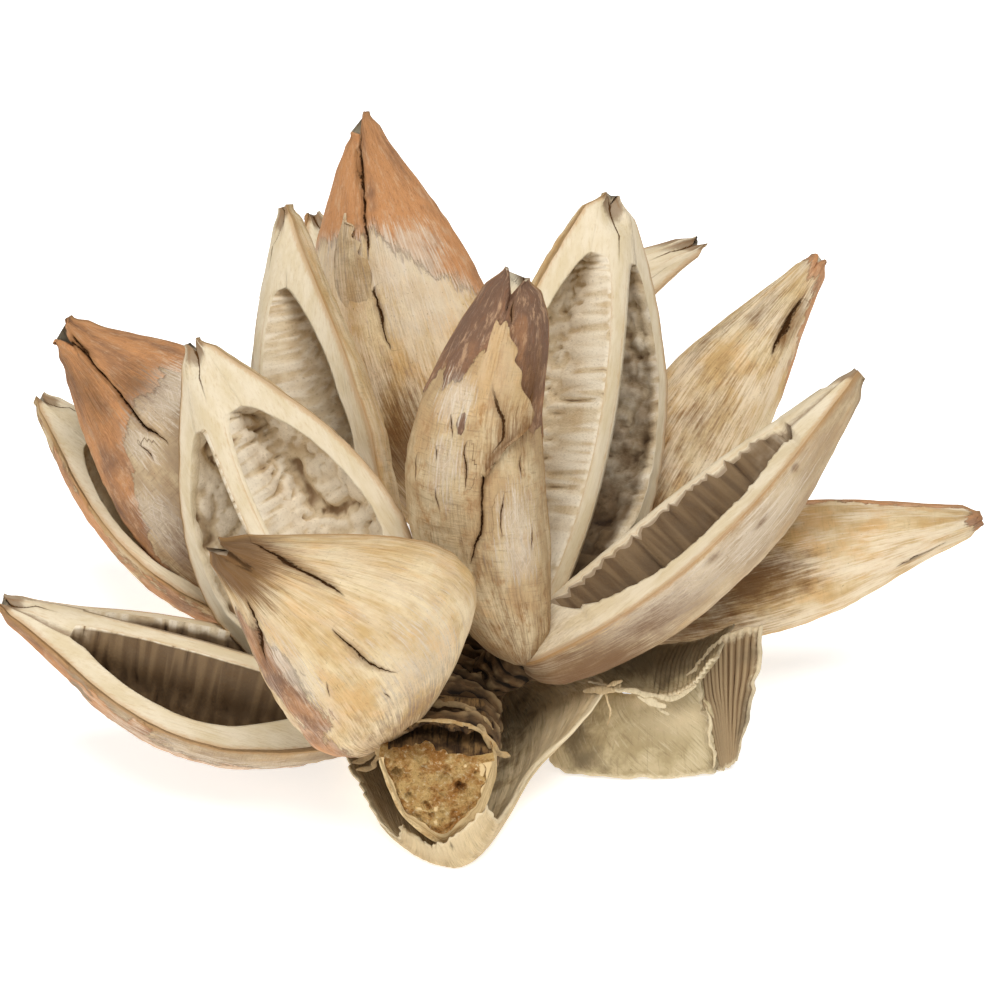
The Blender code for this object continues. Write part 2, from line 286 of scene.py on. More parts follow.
def makeHusk():
    # Dried capsule husk, weathered: matt, with fibres lengthwise, a flaking red-brown skin and dark cracks.
    material, tree, shader = newMaterial("driedHusk", 0.78)
    grain, _, _, _ = readAttribute(tree, "grain")
    _, skin, stainAndShade, bare = readAttribute(tree, "wearAndShade")
    _, offset, near, edge = readAttribute(tree, "crack")
    _, warm, pale, cross = readAttribute(tree, "tint")
    _, dull, skinDark, skinSoft = readAttribute(tree, "age")
    look = huskLook
    streaks = pattern(tree, grain, (0.42, 9.0, 0.5), 5)
    dashes = pattern(tree, grain, (0.32, 3.2, 0.5), 3, 0.5, shift=1.0, turn=2.0)
    bands = pattern(tree, grain, (2.2, 30.0, 2.2), 3, shift=2.0)
    crossLines = pattern(tree, grain, (4.0, 0.45, 5.0), 4, distortion=0.5, shift=3.0, turn=6.0)
    mottle = pattern(tree, grain, (8.0, 13.0, 8.0), 4, shift=5.0)
    peach = pattern(tree, grain, (7.0, 9.0, 7.0), 3, shift=6.0)
    blotch = pattern(tree, grain, (2.2, 4.0, 2.2), 6, 0.7, shift=8.0)
    specks = pattern(tree, grain, (0.4, 0.7, 0.4), 2, shift=11.0)
    fine = pattern(tree, grain, (0.35, 1.1, 0.35), 4, 0.7, shift=13.0)
    scratches = [
        pattern(tree, grain, (0.22, 5.0, 1.0), 2, shift=15.0 + turn, turn=turn) for turn in (38.0, -24.0)
    ]

    colour = blendColour(tree, ramp(tree, mottle, 0.38, 0.64), look["fibre"], look["paleFibre"])
    colour = tint(tree, colour, look["peachFibre"], peach, 0.5, 0.68, 0.7)
    busy = calculate(tree, "MULTIPLY_ADD", pale, -0.7, 1.0)
    colour = tint(tree, colour, "a47d4c", bands, 0.5, 0.68, busy, 0.5)
    colour = tint(tree, colour, look["tanFibre"], blotch, 0.48, 0.72, warm)
    colour = tint(tree, colour, "86653e", crossLines, 0.52, 0.7, cross, 0.7)
    colour = tint(tree, colour, "86633b", streaks, 0.5, 0.75, busy, 0.55)
    colour = tint(tree, colour, "755531", dashes, 0.57, 0.7, busy, 0.4)
    clouds = pattern(tree, grain, (6.0, 16.0, 6.0), 5, 0.62, shift=18.0)
    paleShare = calculate(tree, "MULTIPLY_ADD", streaks, 0.35, multiply(tree, clouds, 0.65))
    colour = tint(tree, colour, "eddcbf", paleShare, 0.56, 0.4, pale, 0.85)
    dullShare = multiply(tree, ramp(tree, mottle, 0.7, 0.35, 0.45, 1.0), dull)
    colour = blendColour(tree, dullShare, colour, look["dullFibre"])

    rough = multiply(tree, calculate(tree, "SUBTRACT", blotch, 0.5), 6.0)
    rough = roughen(tree, rough, fine, 2.5)
    drawn = roughen(tree, rough, streaks, 9.0)
    wornEdge = calculate(tree, "MULTIPLY_ADD", skinSoft, calculate(tree, "SUBTRACT", drawn, rough), rough)
    skinEdge = calculate(tree, "ADD", skin, wornEdge)
    skinWidth = calculate(tree, "MULTIPLY_ADD", skinSoft, 1.4, 0.3)
    skinShare = ramp(tree, calculate(tree, "DIVIDE", skinEdge, skinWidth), -0.5, 0.5)
    skinTone = roughen(tree, skinDark, mottle, 2.4)
    skinColour = blendColour(tree, ramp(tree, skinTone, 0.0, 1.0), look["skin"], look["darkSkin"])
    skinColour = tint(tree, skinColour, "6b4630", fine, 0.5, 0.75, 0.35)
    skinColour = tint(tree, skinColour, "d2ab85", blotch, 0.5, 0.66, 0.6)
    skinColour = tint(tree, skinColour, look["chalk"], dashes, 0.44, 0.3, 0.2)
    skinColour = tint(tree, skinColour, "8f6244", blotch, 0.46, 0.3, 0.5)
    colour = blendColour(tree, skinShare, colour, skinColour)
    atEdge = ramp(tree, calculate(tree, "ABSOLUTE", calculate(tree, "SUBTRACT", skinEdge, 0.4)), 4.0, 0.4)
    chalky = multiply(tree, atEdge, skinSoft, ramp(tree, streaks, 0.42, 0.6))
    colour = blendColour(tree, multiply(tree, chalky, 0.75), colour, look["chalk"])
    bareShare = ramp(tree, calculate(tree, "ADD", bare, drawn), -0.8, 2.4)
    scratched = calculate(tree, "MAXIMUM", *(ramp(tree, lines, 0.56, 0.66) for lines in scratches))
    colour = blendColour(tree, multiply(tree, bareShare, 0.5), colour, look["bare"])
    colour = blendColour(tree, multiply(tree, bareShare, scratched, cross, 0.6), colour, "e9dccb")
    colour = blendColour(
        tree, multiply(tree, bareShare, ramp(tree, streaks, 0.5, 0.68), 0.5), colour, "ecdfcb",
    )
    # dark brown: real stains, and painted shade toward the foot and where a neighbouring valve shades the
    # husk
    stainAndShadeShare = ramp(tree, calculate(tree, "MULTIPLY_ADD", drawn, 0.2, stainAndShade), -0.3, 1.0)
    colour = blendColour(tree, multiply(tree, stainAndShadeShare, 0.85), colour, look["stainAndShade"])
    colour = tint(tree, colour, "644427", specks, 0.66, 0.77, 0.6)
    edgeShare = ramp(tree, roughen(tree, edge, fine, 1.6), 1.3, 0.2)
    colour = blendColour(tree, multiply(tree, edgeShare, 0.7), colour, look["edge"])
    wander = roughen(tree, offset, specks, 1.0)
    wander = calculate(tree, "ABSOLUTE", wander)
    colour = tint(tree, colour, "7d5730", wander, 2.2, 0.4, near, 0.5)
    line = multiply(tree, ramp(tree, wander, 0.46, 0.14), near)
    colour = blendColour(tree, line, colour, look["crack"])
    tree.links.new(colour, shader.inputs["Base Color"])
    dullHollow(tree, shader, line)
    height = calculate(tree, "MULTIPLY_ADD", streaks, 0.6, multiply(tree, fine, 0.5))
    height = calculate(tree, "MULTIPLY_ADD", dashes, -0.4, height)
    height = calculate(tree, "MULTIPLY_ADD", multiply(tree, crossLines, cross), 0.9, height)
    height = calculate(tree, "MULTIPLY_ADD", skinShare, 0.4, height)
    height = calculate(tree, "MULTIPLY_ADD", line, -1.5, height)
    addBump(tree, shader, height, 0.5, 0.9)
    return material


def makeSplitFace():
    # The capsule wall where it split: smooth, pale cream wood with fine fibres, orange at its edge.
    material, tree, shader = newMaterial("splitFaceWood", 0.62)
    grain, _, _, _ = readAttribute(tree, "grain")
    _, _, stainAndShade, _ = readAttribute(tree, "wearAndShade")
    _, offset, near, edge = readAttribute(tree, "crack")
    streaks = pattern(tree, grain, (0.4, 11.0, 0.4), 4)
    mottle = pattern(tree, grain, (3.0, 10.0, 3.0), 3, shift=4.0)
    fine = pattern(tree, grain, (0.5, 1.6, 0.5), 4, 0.7, shift=9.0)
    colour = blendColour(tree, ramp(tree, mottle, 0.35, 0.7), "ddceb2", "d2c09d")
    colour = tint(tree, colour, "c0a478", streaks, 0.5, 0.75, 0.4)
    band = roughen(tree, edge, fine, 1.8)
    colour = tint(tree, colour, "b98e5c", band, 1.5, 0.3, 0.6)
    # dark brown: the broken tip end's own colour, and painted shade in the fork between the tip's halves
    # and toward the foot
    stainAndShadeShare = ramp(tree, roughen(tree, stainAndShade, fine, 1.2), 0.0, 1.1)
    colour = blendColour(tree, multiply(tree, stainAndShadeShare, 0.7), colour, "6e4f31")
    wander = roughen(tree, offset, fine, 0.8)
    line = multiply(tree, ramp(tree, calculate(tree, "ABSOLUTE", wander), 0.32, 0.08), near)
    colour = blendColour(tree, line, colour, "553a20")
    tree.links.new(colour, shader.inputs["Base Color"])
    dullHollow(tree, shader, line)
    height = calculate(
        tree, "MULTIPLY_ADD", line, -1.2, calculate(tree, "MULTIPLY_ADD", fine, 0.4, streaks),
    )
    addBump(tree, shader, height, 0.25, 0.6)
    return material


def makeLining():
    # The shrunken lining of a seed chamber: matt grey-beige skin in soft folds, with brown painted shade in
    # its creases and a painted highlight on its crests.
    material, tree, shader = newMaterial("chamberLining", 0.7)
    grain, _, _, _ = readAttribute(tree, "grain")
    _, relief, stainAndShade, _ = readAttribute(tree, "wearAndShade")
    mottle = pattern(tree, grain, (5.0, 7.0, 5.0), 3, shift=2.0)
    fine = pattern(tree, grain, (0.7, 0.5, 0.7), 5, 0.65, shift=6.0)
    colour = blendColour(tree, ramp(tree, mottle, 0.35, 0.7), "d6c3a2", "c6ad88")
    # brown from each chamber's stain and painted shade
    stainAndShadeShare = ramp(tree, roughen(tree, stainAndShade, mottle, 1.4), 0.1, 1.3)
    colour = blendColour(tree, multiply(tree, stainAndShadeShare, 0.92), colour, "533b22")
    # painted highlight on the fold crests and painted shade in the creases, both following the fold relief
    paintedCrestLight = blendColour(tree, stainAndShadeShare, "eadec8", "826a4c")
    paintedCreaseShade = blendColour(tree, stainAndShadeShare, "775634", "2a190b")
    colour = tint(tree, colour, paintedCrestLight, relief, 0.1, 0.7, 0.7)
    colour = tint(tree, colour, paintedCreaseShade, relief, 0.0, -0.8, 0.85)
    colour = tint(tree, colour, "7d5f3b", fine, 0.5, 0.75, 0.35)
    tree.links.new(colour, shader.inputs["Base Color"])
    addBump(tree, shader, fine, 0.3, 0.6)
    return material


def makeStalkBark():
    # The stalk's shrivelled skin: dark brown with painted shade nearly black in its folds and a light brown
    # painted highlight on their crests, pale at the cut rind.
    material, tree, shader = newMaterial("shrivelledStalkSkin", 0.85)
    grain, _, _, _ = readAttribute(tree, "grain")
    _, relief, front, _ = readAttribute(tree, "wearAndShade")
    place = addNode(tree, "ShaderNodeTexCoord").outputs["Object"]
    along = addNode(tree, "ShaderNodeSeparateXYZ", links={0: place}).outputs[1]
    fromCut = calculate(tree, "SUBTRACT", along, (4.0 - headOrigin[1]) * mm)
    front = calculate(tree, "MAXIMUM", front, ramp(tree, fromCut, 5.0 * mm, 1.0 * mm))
    fine = pattern(tree, grain, (0.5, 0.35, 0.5), 5, 0.7)
    mottle = pattern(tree, grain, (3.5, 2.0, 3.5), 4, 0.65, shift=4.0)
    streaks = pattern(tree, grain, (0.5, 6.0, 0.5), 4, shift=9.0)
    dark = blendColour(tree, ramp(tree, mottle, 0.35, 0.7), "4d3a25", "75593a")
    # painted highlight on the wrinkle crests and painted shade in the folds, both following the wrinkle
    # relief
    dark = tint(tree, dark, "a98e66", relief, 0.15, 0.8, 0.7)
    dark = tint(tree, dark, "140d07", relief, 0.05, -0.55, 0.92)
    rind = blendColour(tree, ramp(tree, mottle, 0.4, 0.65), "dcc190", "b28f5d")
    rind = tint(tree, rind, "8a6c44", streaks, 0.5, 0.72, 0.5)
    share = ramp(tree, roughen(tree, front, mottle, 1.2), 0.3, 0.75)
    colour = blendColour(tree, share, dark, rind)
    colour = tint(tree, colour, "33241a", fine, 0.55, 0.8, 0.5)
    tree.links.new(colour, shader.inputs["Base Color"])
    addBump(tree, shader, calculate(tree, "ADD", fine, multiply(tree, streaks, 0.6)), 0.4, 0.8)
    return material


def makeStalkHollow():
    # The dark fibrous inside of the stalk's hollow. Patterns are in metres.
    material, tree, shader = newMaterial("darkStalkHollow", 0.95)
    place = addNode(tree, "ShaderNodeTexCoord").outputs["Object"]
    fibres = pattern(tree, place, (0.0007, 0.006, 0.0009), 5, 0.7)
    patch = pattern(tree, place, (0.004, 0.005, 0.003), 3, 0.6, shift=0.003)
    colour = blendColour(tree, ramp(tree, patch, 0.4, 0.62), "4a3520", "8a6a42")
    colour = tint(tree, colour, "1c120a", fibres, 0.46, 0.64, 0.8)
    tree.links.new(colour, shader.inputs["Base Color"])
    addBump(tree, shader, fibres, 0.8, 1.0)
    return material


def makePith():
    # Dry spongy pith: honey-coloured crumbs, rust-brown patches and painted shade in its pits. Patterns are
    # in metres.
    material, tree, shader = newMaterial("drySpongyPith", 0.95)
    place = addNode(tree, "ShaderNodeTexCoord").outputs["Object"]
    crumb = pattern(tree, place, (0.0009, 0.0009, 0.0009), 5, 0.75)
    patch = pattern(tree, place, (0.0035, 0.004, 0.0035), 4, 0.6, shift=0.001)
    cells = pattern(tree, place, (0.0004, 0.0004, 0.0004), 2, 0.6, shift=0.002)
    colour = blendColour(tree, ramp(tree, patch, 0.4, 0.62), "dcb573", "b98141")
    colour = tint(tree, colour, "7d5024", crumb, 0.5, 0.7, 0.75)
    colour = tint(tree, colour, "f3deb0", crumb, 0.48, 0.32, 0.8)
    colour = tint(tree, colour, "5a3515", patch, 0.64, 0.72, 0.7)
    # painted shade: the pith gets darker the deeper it lies in a pit
    colour = blendColour(
        tree, multiply(tree, ramp(tree, readAttribute(tree, "wearAndShade")[1], 0.7, 1.8), 0.85), colour, "2b190b",
    )
    tree.links.new(colour, shader.inputs["Base Color"])
    height = calculate(tree, "MULTIPLY_ADD", crumb, 1.5, multiply(tree, cells, 0.8))
    addBump(tree, shader, height, 0.9, 1.0)
    return material


def makeBract(name, light, deep, grey, fibreTurn):
    # Dried leathery bract: fine veins, pale torn edges, grey weathering and a darker ribbed flap, with
    # painted shade between its ribs and a painted highlight on them; some grey is painted shade and some
    # pale is painted light.
    material, tree, shader = newMaterial(name, 0.72)
    grain, _, _, _ = readAttribute(tree, "grain")
    _, torn, stainAndShade, rib = readAttribute(tree, "wearAndShade")
    _, pale, flap, _ = readAttribute(tree, "age")
    fine = pattern(tree, grain, (0.3, 6.0, 1.0), 5, 0.65)
    slanted = pattern(tree, grain, (0.35, 5.0, 1.0), 3, 0.55, shift=1.0, turn=fibreTurn)
    mottle = pattern(tree, grain, (5.0, 7.0, 5.0), 5, 0.65, shift=4.0)
    specks = pattern(tree, grain, (0.5, 0.8, 1.0), 3, 0.6, shift=7.0)
    colour = blendColour(tree, ramp(tree, mottle, 0.4, 0.62), light, deep)
    colour = tint(tree, colour, "85704f", fine, 0.5, 0.72, 0.4)
    colour = tint(tree, colour, "7c6748", slanted, 0.55, 0.68, 0.45)
    colour = tint(tree, colour, "e2d3b4", slanted, 0.45, 0.32, 0.35)
    colour = blendColour(tree, multiply(tree, flap, 0.95), colour, "7a6043")
    # painted shade in the troughs between ribs and a painted highlight on their crests, following the rib
    # relief
    ribShare = calculate(tree, "MULTIPLY_ADD", flap, 0.4, 0.2)
    colour = tint(tree, colour, "6b5336", rib, 0.1, -0.8, ribShare)
    colour = tint(tree, colour, "cdb68e", rib, 0.3, 0.9, ribShare, 0.6)
    # pale patches: real pale places, and painted light on the spathe's front lip
    paleShare = ramp(tree, roughen(tree, pale, mottle, 1.6), -0.1, 1.0)
    colour = blendColour(tree, multiply(tree, paleShare, 0.75), colour, "e0cba4")
    edge = roughen(tree, torn, specks, 2.0)
    colour = tint(tree, colour, "e4d3b0", edge, 1.7, 0.4, 0.8)
    # grey: real weathering, and painted shade on the curled bract
    stainAndShadeShare = ramp(tree, roughen(tree, stainAndShade, mottle, 2.5), 0.0, 1.1)
    colour = blendColour(tree, multiply(tree, stainAndShadeShare, 0.75), colour, grey)
    colour = tint(tree, colour, "5d4a33", specks, 0.66, 0.78, 0.5)
    tree.links.new(colour, shader.inputs["Base Color"])
    addBump(tree, shader, calculate(tree, "ADD", fine, slanted), 0.3, 0.8)
    return material


print("star pod: materials")
driedHusk = makeHusk()
splitFaceWood = makeSplitFace()
chamberLining = makeLining()
stalkSkin = makeStalkBark()
stalkHollow = makeStalkHollow()
spongyPith = makePith()
spatheLeather = makeBract("driedSpatheLeather", "dac297", "bea277", "4f3c26", 4.0)
bractPaper = makeBract("weatheredBractPaper", "c6b48e", "ab9871", "665843", 32.0)

# Capsules: the plan repeats the source's sizes, and each valve adds its own wear.
# A place on a valve is its share of the length from the foot and its place round the wall,
# which runs from -1 over 0 at the keel to 1.

valveForm = {
    "widestAt": 0.42,
    "tipHalfWidth": 2.4,
    "wall": 2.8,
    "septumHalf": 2.3,
    "septumRise": 0.5,
    "heel": 4.0,
    "forkGap": 0.6,
    "forkFrom": 0.91,
    "stations": 121,
    "septumSteps": 4,
    "chamberSteps": 34,
    "faceSteps": 12,
    "shellSteps": 40,
}
valveDefaults = {
    "half": 22.0,
    "depth": 13.0,
    "bow": 4.0,
    "sway": 0.0,
    "taper": 1.05,
    "foot": 0.24,
    "chamber": (0.14, 0.80),
    "rim": 4.3,  # width of the split face beside the chamber
    "warm": 0.5,  # share of tan in the bared fibre
    "pale": 0.3,  # share of cream streaks
    "cross": 0.3,  # fine wrinkles across the fibre
    "dull": 0.0,  # share of weathered grey
    "skinDark": 0.3,  # how dark the red-brown skin is
    "skinSoft": 0.3,  # 0 where the skin ends in a crisp flake, 1 where it wears away in chalky streaks
    "liningSize": 1.0,
    "tipStep": (0.0, 0.0),  # how much shorter the tip's two halves are
    "tipSpread": 0.6,  # how far they stand apart
    "sides": (1.0, 1.0),  # how wide each half is, as a share of half the width
    "shift": (0, 0, 0),  # how far the foot end lies from the source's, which is plainer there
    # brown of each seed chamber: real stain and painted shade together
    "liningStainAndShade": (0.2, 0.2),  # how brown the left and the right seed chamber is
    "liningFold": 1.0,
    "liningRibs": 0.0,  # share of even ribs across the chamber
    "ragged": 0.0,  # how far the torn edge of the septum juts into the chamber
    "skinLine": None,  # (place, share of length) along the lower edge of the red-brown skin
    "skinPatches": (),  # (share, place, half length, half width, strength)
    # darker brown patches as (share, place, half length, half width, strength): real stains, and painted
    # shadow where a neighbour shades a valve
    "stainsAndShadows": (),
    "bare": (),
    "cracks": (),  # (width, depth, points), each point (share, place)
}
capsules = {
    "capsule_front_left": {
        "base": (-21, 22, 23),
        "root": (-11, 24, 14),
        "valves": {
            "upper": {
                "tip": (-59, 64, 81), "faces": (-0.36, -0.85, 0.37), "half": 23.5, "depth": 9, "bow": 2,
                "sway": -3,
                # painted shade: the left chamber's deeper brown stands in for the shade of its left wall
                "liningStainAndShade": (0.5, 0.2), "liningSize": 1.2, "liningFold": 1.15,
                "cracks": ((0.5, 0.6, ((0.74, 0.93), (0.64, 0.95), (0.5, 0.9))),),
            },
            "front": {
                "tip": (-50, 4, 74), "faces": (-0.44, 0.9, 0.1), "half": 21.5, "depth": 11, "bow": 8,
                "sway": -10, "foot": 0.34,
                "warm": 0.4, "pale": 0.45, "cross": 0.12, "skinDark": 0.45, "skinSoft": 0.6,
                "skinPatches": (
                    (0.67, 0.78, 9, 4, 1.2), (0.57, 0.66, 9, 5, 1.2), (0.46, 0.66, 9, 4.5, 1.0),
                    (0.3, 0.75, 12, 3, 0.8),
                ),
                "stainsAndShadows": ((0.97, 0.1, 9, 11, 1.6), (0.92, 0.34, 7, 5, 1.4), (0.12, 0.0, 12, 14, 0.5)),
                "bare": ((0.62, 0.5, 8, 3, 1.0), (0.36, -0.2, 12, 8, 0.5)),
                "cracks": (
                    (0.8, 1.1, ((0.955, -0.72), (0.873, -0.40), (0.788, -0.25), (0.72, -0.18))),
                    (0.5, 0.7, ((0.68, 0.06), (0.55, 0.10), (0.425, 0.0))),
                    (0.7, 1.0, ((0.86, 0.50), (0.788, 0.63), (0.67, 0.72))),
                    (0.3, 0.4, ((0.55, 0.35), (0.49, 0.38))),
                    (0.3, 0.3, ((0.4, 0.12), (0.35, 0.1))),
                ),
            },
            "lower": {
                "tip": (-96, 36, 39), "faces": (0.2, -0.1, 0.98), "half": 17, "taper": 1.2,
                # painted shade: this chamber's deep brown stands in for the shade of the valve above it
                "liningStainAndShade": (2.0, 2.0), "liningRibs": 0.75, "liningFold": 1.1,
                "dull": 1.0, "cross": 0.6, "pale": 0.3,
                "skinPatches": (
                    (0.36, -0.5, 14, 4, 0.7), (0.62, -0.75, 12, 4, 0.9), (0.85, -0.8, 12, 4, 0.9),
                ),
                "bare": ((0.3, -0.6, 14, 5, 0.8), (0.5, -0.7, 16, 5, 0.5)),
            },
        },
    },
    "capsule_left": {
        "base": (-28, 61, 16),
        "root": (-12, 59, 14),
        "valves": {
            "front": {
                "tip": (-89, 91, 69), "faces": (0.16, 0.92, -0.35), "half": 23, "depth": 12, "bow": 3,
                "sway": -3,
                "warm": 0.6, "pale": 0.2, "cross": 0.8, "dull": 0.95, "skinDark": 0.3, "skinSoft": 0.15,
                "tipStep": (1.5, 0), "tipSpread": 2.2,
                "skinLine": (
                    (-1, 0.62), (-0.47, 0.72), (-0.04, 0.745), (0.14, 0.71), (0.28, 0.62), (0.47, 0.53),
                    (0.63, 0.42), (1, 0.34),
                ),
                "stainsAndShadows": ((0.75, -0.2, 6, 5, 0.7), (0.3, 0.3, 18, 14, 1.0), (0.82, 0.3, 11, 5, 0.6)),
                "bare": ((0.47, 0.38, 10, 5, 1.4), (0.65, 0.12, 5, 3, 0.9), (0.69, -0.3, 6, 8, 1.0)),
                "cracks": (
                    (
                        0.6, 1.4,
                        (
                            (0.97, -0.06), (0.93, -0.08), (0.827, -0.04), (0.735, 0.01), (0.66, 0.0),
                            (0.6, -0.02),
                        ),
                    ),
                    (0.4, 0.5, ((0.66, 0.12), (0.6, 0.13))),
                ),
            },
            "left": {
                "tip": (-97, 102, 46), "faces": (0.4, 0.0, 0.92), "half": 21, "depth": 11, "bow": 2,
                "sway": -2,
                "liningStainAndShade": (0.3, 0.3), "liningSize": 1.6, "liningFold": 0.35, "rim": 2.6,
                "skinPatches": ((0.7, -0.85, 16, 3, 0.8), (0.4, -0.8, 14, 4, 0.7)),
            },
            "back": {
                "tip": (-44, 114, 85), "faces": (-0.8, -0.6, 0.15), "half": 23, "depth": 12, "bow": -3,
                "sway": -5, "taper": 1.15,
                "liningStainAndShade": (0.0, 0.1), "liningSize": 0.65, "liningFold": 0.7, "warm": 0.4, "pale": 0.5,
                "cross": 0.5,
            },
        },
    },
    "capsule_rear": {
        "base": (-3, 98, 14),
        "root": (-6, 80, 13),
        "valves": {
            "top": {
                "tip": (-29, 144, 92), "faces": (0.17, 0.87, -0.46), "half": 21, "depth": 12, "bow": 2,
                "sway": 3, "taper": 1.1,
                "warm": 0.35, "pale": 0.75, "cross": 0.15, "skinDark": 0.1, "skinSoft": 1.0,
                "tipStep": (3.5, 0), "tipSpread": 1.2,
                "skinLine": (
                    (-1, 0.42), (-0.69, 0.55), (-0.53, 0.58), (-0.40, 0.604), (-0.31, 0.65), (-0.12, 0.69),
                    (-0.02, 0.72), (0.06, 0.70), (0.31, 0.735), (0.6, 0.727), (1.0, 0.68),
                ),
                "bare": (
                    (0.64, -0.25, 8, 9, 1.1), (0.627, 0, 6, 5, 0.9), (0.54, -0.3, 9, 9, 0.9),
                    (0.688, 0.47, 5, 5, 0.7),
                ),
                # painted shadow: both patches darken the lower half of the husk where the valve in front of
                # it casts shade
                "stainsAndShadows": ((0.24, 0.2, 16, 11, 1.0), (0.42, 0.85, 24, 5, 0.6)),
                "cracks": (
                    (0.5, 1.4, ((0.97, 0.02), (0.85, 0.01), (0.75, 0.03), (0.66, 0.06))),
                    (1.5, 1.8, ((0.76, 0.09), (0.72, 0.10))),
                    (0.5, 0.9, ((0.60, 0.06), (0.535, 0.07), (0.445, 0.04))),
                ),
            },
            "left": {
                "tip": (-41, 160, 60), "faces": (0.45, -0.34, 0.82), "half": 18, "bow": 2,
                "skinLine": ((-1, 0.8), (1, 0.8)),
            },
            "right": {
                "tip": (48, 154, 56), "faces": (0.03, -0.61, 0.79), "half": 13, "depth": 11, "bow": -1,
                "sway": -14,
                "stainsAndShadows": ((0.95, -1, 6, 6, 1.2), (0.93, 0.3, 8, 5, 0.6)),
            },
        },
    },
    "capsule_middle": {
        "base": (7, 32, 29),
        "root": (-5, 35, 17),
        "valves": {
            "front": {
                "tip": (5, 48, 106), "faces": (0.1, 0.97, -0.2), "half": 15.5, "bow": 1, "sway": 7,
                "taper": 0.75,
                "warm": 1.0, "pale": 0.05, "cross": 0.6, "dull": 0.45, "skinDark": 1.0, "tipStep": (0, 2),
                "tipSpread": 1.3, "skinSoft": 0.0, "sides": (1.0, 0.74),
                "skinLine": (
                    (-1, 0.58), (-0.69, 0.62), (-0.5, 0.66), (-0.3, 0.72), (0, 0.78), (0.14, 0.80),
                    (0.37, 0.765), (0.6, 0.75), (1, 0.72),
                ),
                "skinPatches": ((0.655, 0.19, 2.0, 0.6, 0.9),),
                "stainsAndShadows": ((0.72, -0.6, 10, 4, 0.8), (0.1, 0, 8, 10, 0.2)),
                "bare": (
                    (0.712, 0.31, 5, 3.5, 1.1), (0.56, 0.3, 6, 3, 0.7), (0.42, -0.40, 7, 5, 1.0),
                    (0.33, -0.37, 6, 5, 0.9),
                ),
                "cracks": (
                    (0.5, 1.2, ((0.96, -0.04), (0.942, -0.1), (0.885, -0.14))),
                    (0.6, 1.0, ((0.66, -0.07), (0.542, -0.06), (0.427, -0.01), (0.31, 0.12))),
                    (1.4, 1.8, ((0.70, -0.34), (0.642, -0.22), (0.604, -0.17), (0.56, -0.16))),
                    (0.7, 1.2, ((0.73, -0.64), (0.65, -0.53))),
                    (0.4, 0.5, ((0.68, 0.33), (0.62, 0.27))),
                    (0.4, 0.5, ((0.60, 0.44), (0.56, 0.38))),
                    (0.35, 0.4, ((0.57, 0.62), (0.5, 0.58))),
                    (0.35, 0.4, ((0.5, 0.35), (0.44, 0.33))),
                    (0.35, 0.4, ((0.62, 0.1), (0.57, 0.12), (0.5, 0.11))),
                    (0.3, 0.4, ((0.585, -0.5), (0.52, -0.48))),
                    (0.35, 0.4, ((0.49, -0.25), (0.42, -0.22), (0.38, -0.2))),
                    (0.3, 0.4, ((0.4, -0.6), (0.33, -0.55))),
                ),
            },
            "back": {
                "tip": (24, 88, 101), "faces": (0.5, -0.74, 0.46), "half": 21.5, "bow": 0, "sway": 3,
                "taper": 0.75,
                "liningStainAndShade": (-0.2, 0.8), "liningSize": 0.85, "liningFold": 0.9, "chamber": (0.12, 0.86),
                "rim": 3.8,
            },
            "right": {
                "tip": (71, 58, 78), "faces": (-0.65, 0.27, 0.7), "half": 18, "bow": 2, "foot": 0.46,
                "shift": (-5, -1, 3),
                "warm": 0.4, "pale": 0.45, "dull": 0.8, "liningStainAndShade": (1.6, 1.6), "liningRibs": 0.6,
                "liningFold": 1.3, "ragged": 2.2,
                "stainsAndShadows": (
                    (0.12, 0.45, 16, 14, 1.3), (0.26, 0.7, 14, 6, 0.8), (0.04, 0.96, 8, 6, 0.6),
                    (0.74, 0.88, 1.2, 0.9, 0.9), (0.6, 0.8, 2.2, 0.9, 0.7), (0.47, 0.9, 2.4, 1, 0.7),
                ),
                "bare": ((0.35, 0.84, 20, 7, 1.0), (0.58, 0.75, 16, 6, 0.8)),
            },
        },
    },
    "capsule_right": {
        "base": (23, 66, 15),
        "root": (-1, 62, 13),
        "valves": {
            "upper": {
                "tip": (69, 111, 74), "faces": (-0.1, 0.83, -0.54), "half": 13.5, "depth": 12, "bow": 0,
                "sway": 3, "taper": 1.1,
                "warm": 0.4, "pale": 0.85, "cross": 0.15,
                "skinPatches": ((0.99, -0.5, 5, 3, 1.0), (0.86, -0.95, 20, 3.4, 1.4)),
                "stainsAndShadows": (
                    (0.67, 0.63, 10, 2, 0.5), (0.79, 0.30, 8, 2.4, 0.5), (0.49, 0.12, 16, 5, 0.4),
                    (0.8, -0.24, 8, 2.2, 0.7), (0.25, 0.2, 14, 14, 0.7),
                ),
                "cracks": ((1.1, 1.2, ((0.885, -0.27), (0.80, -0.24), (0.715, -0.24))),),
            },
            "front": {
                "tip": (100, 65, 39), "faces": (0.1, 0.92, -0.3), "half": 13, "depth": 12, "bow": 1,
                "sway": 1,
                "warm": 0.25, "pale": 1.0, "cross": 0.2, "tipSpread": 0.1,
                "skinPatches": (
                    (0.82, 0.97, 16, 1.0, 1.2), (0.55, 0.97, 12, 1.0, 1.1), (1.0, 0.4, 3, 3, 1.0),
                ),
                "stainsAndShadows": ((0.4, 0.1, 15, 6, 1.2), (0.535, -0.1, 4, 2, 0.6), (0.22, 0.2, 22, 16, 1.2)),
                "cracks": ((0.5, 0.7, ((0.9, -0.25), (0.76, -0.33))),),
            },
            "rear": {"tip": (58, 127, 22), "faces": (-0.4, 0.2, 0.9), "half": 16, "bow": 2, "warm": 0.6},
        },
    },
}
huskZone, faceZone, liningZone, stalkZone = 0, 1, 2, 3
capsuleMaterials = (driedHusk, splitFaceWood, chamberLining, stalkSkin)
patternGap = 31.0  # sets the patterns of two valves apart
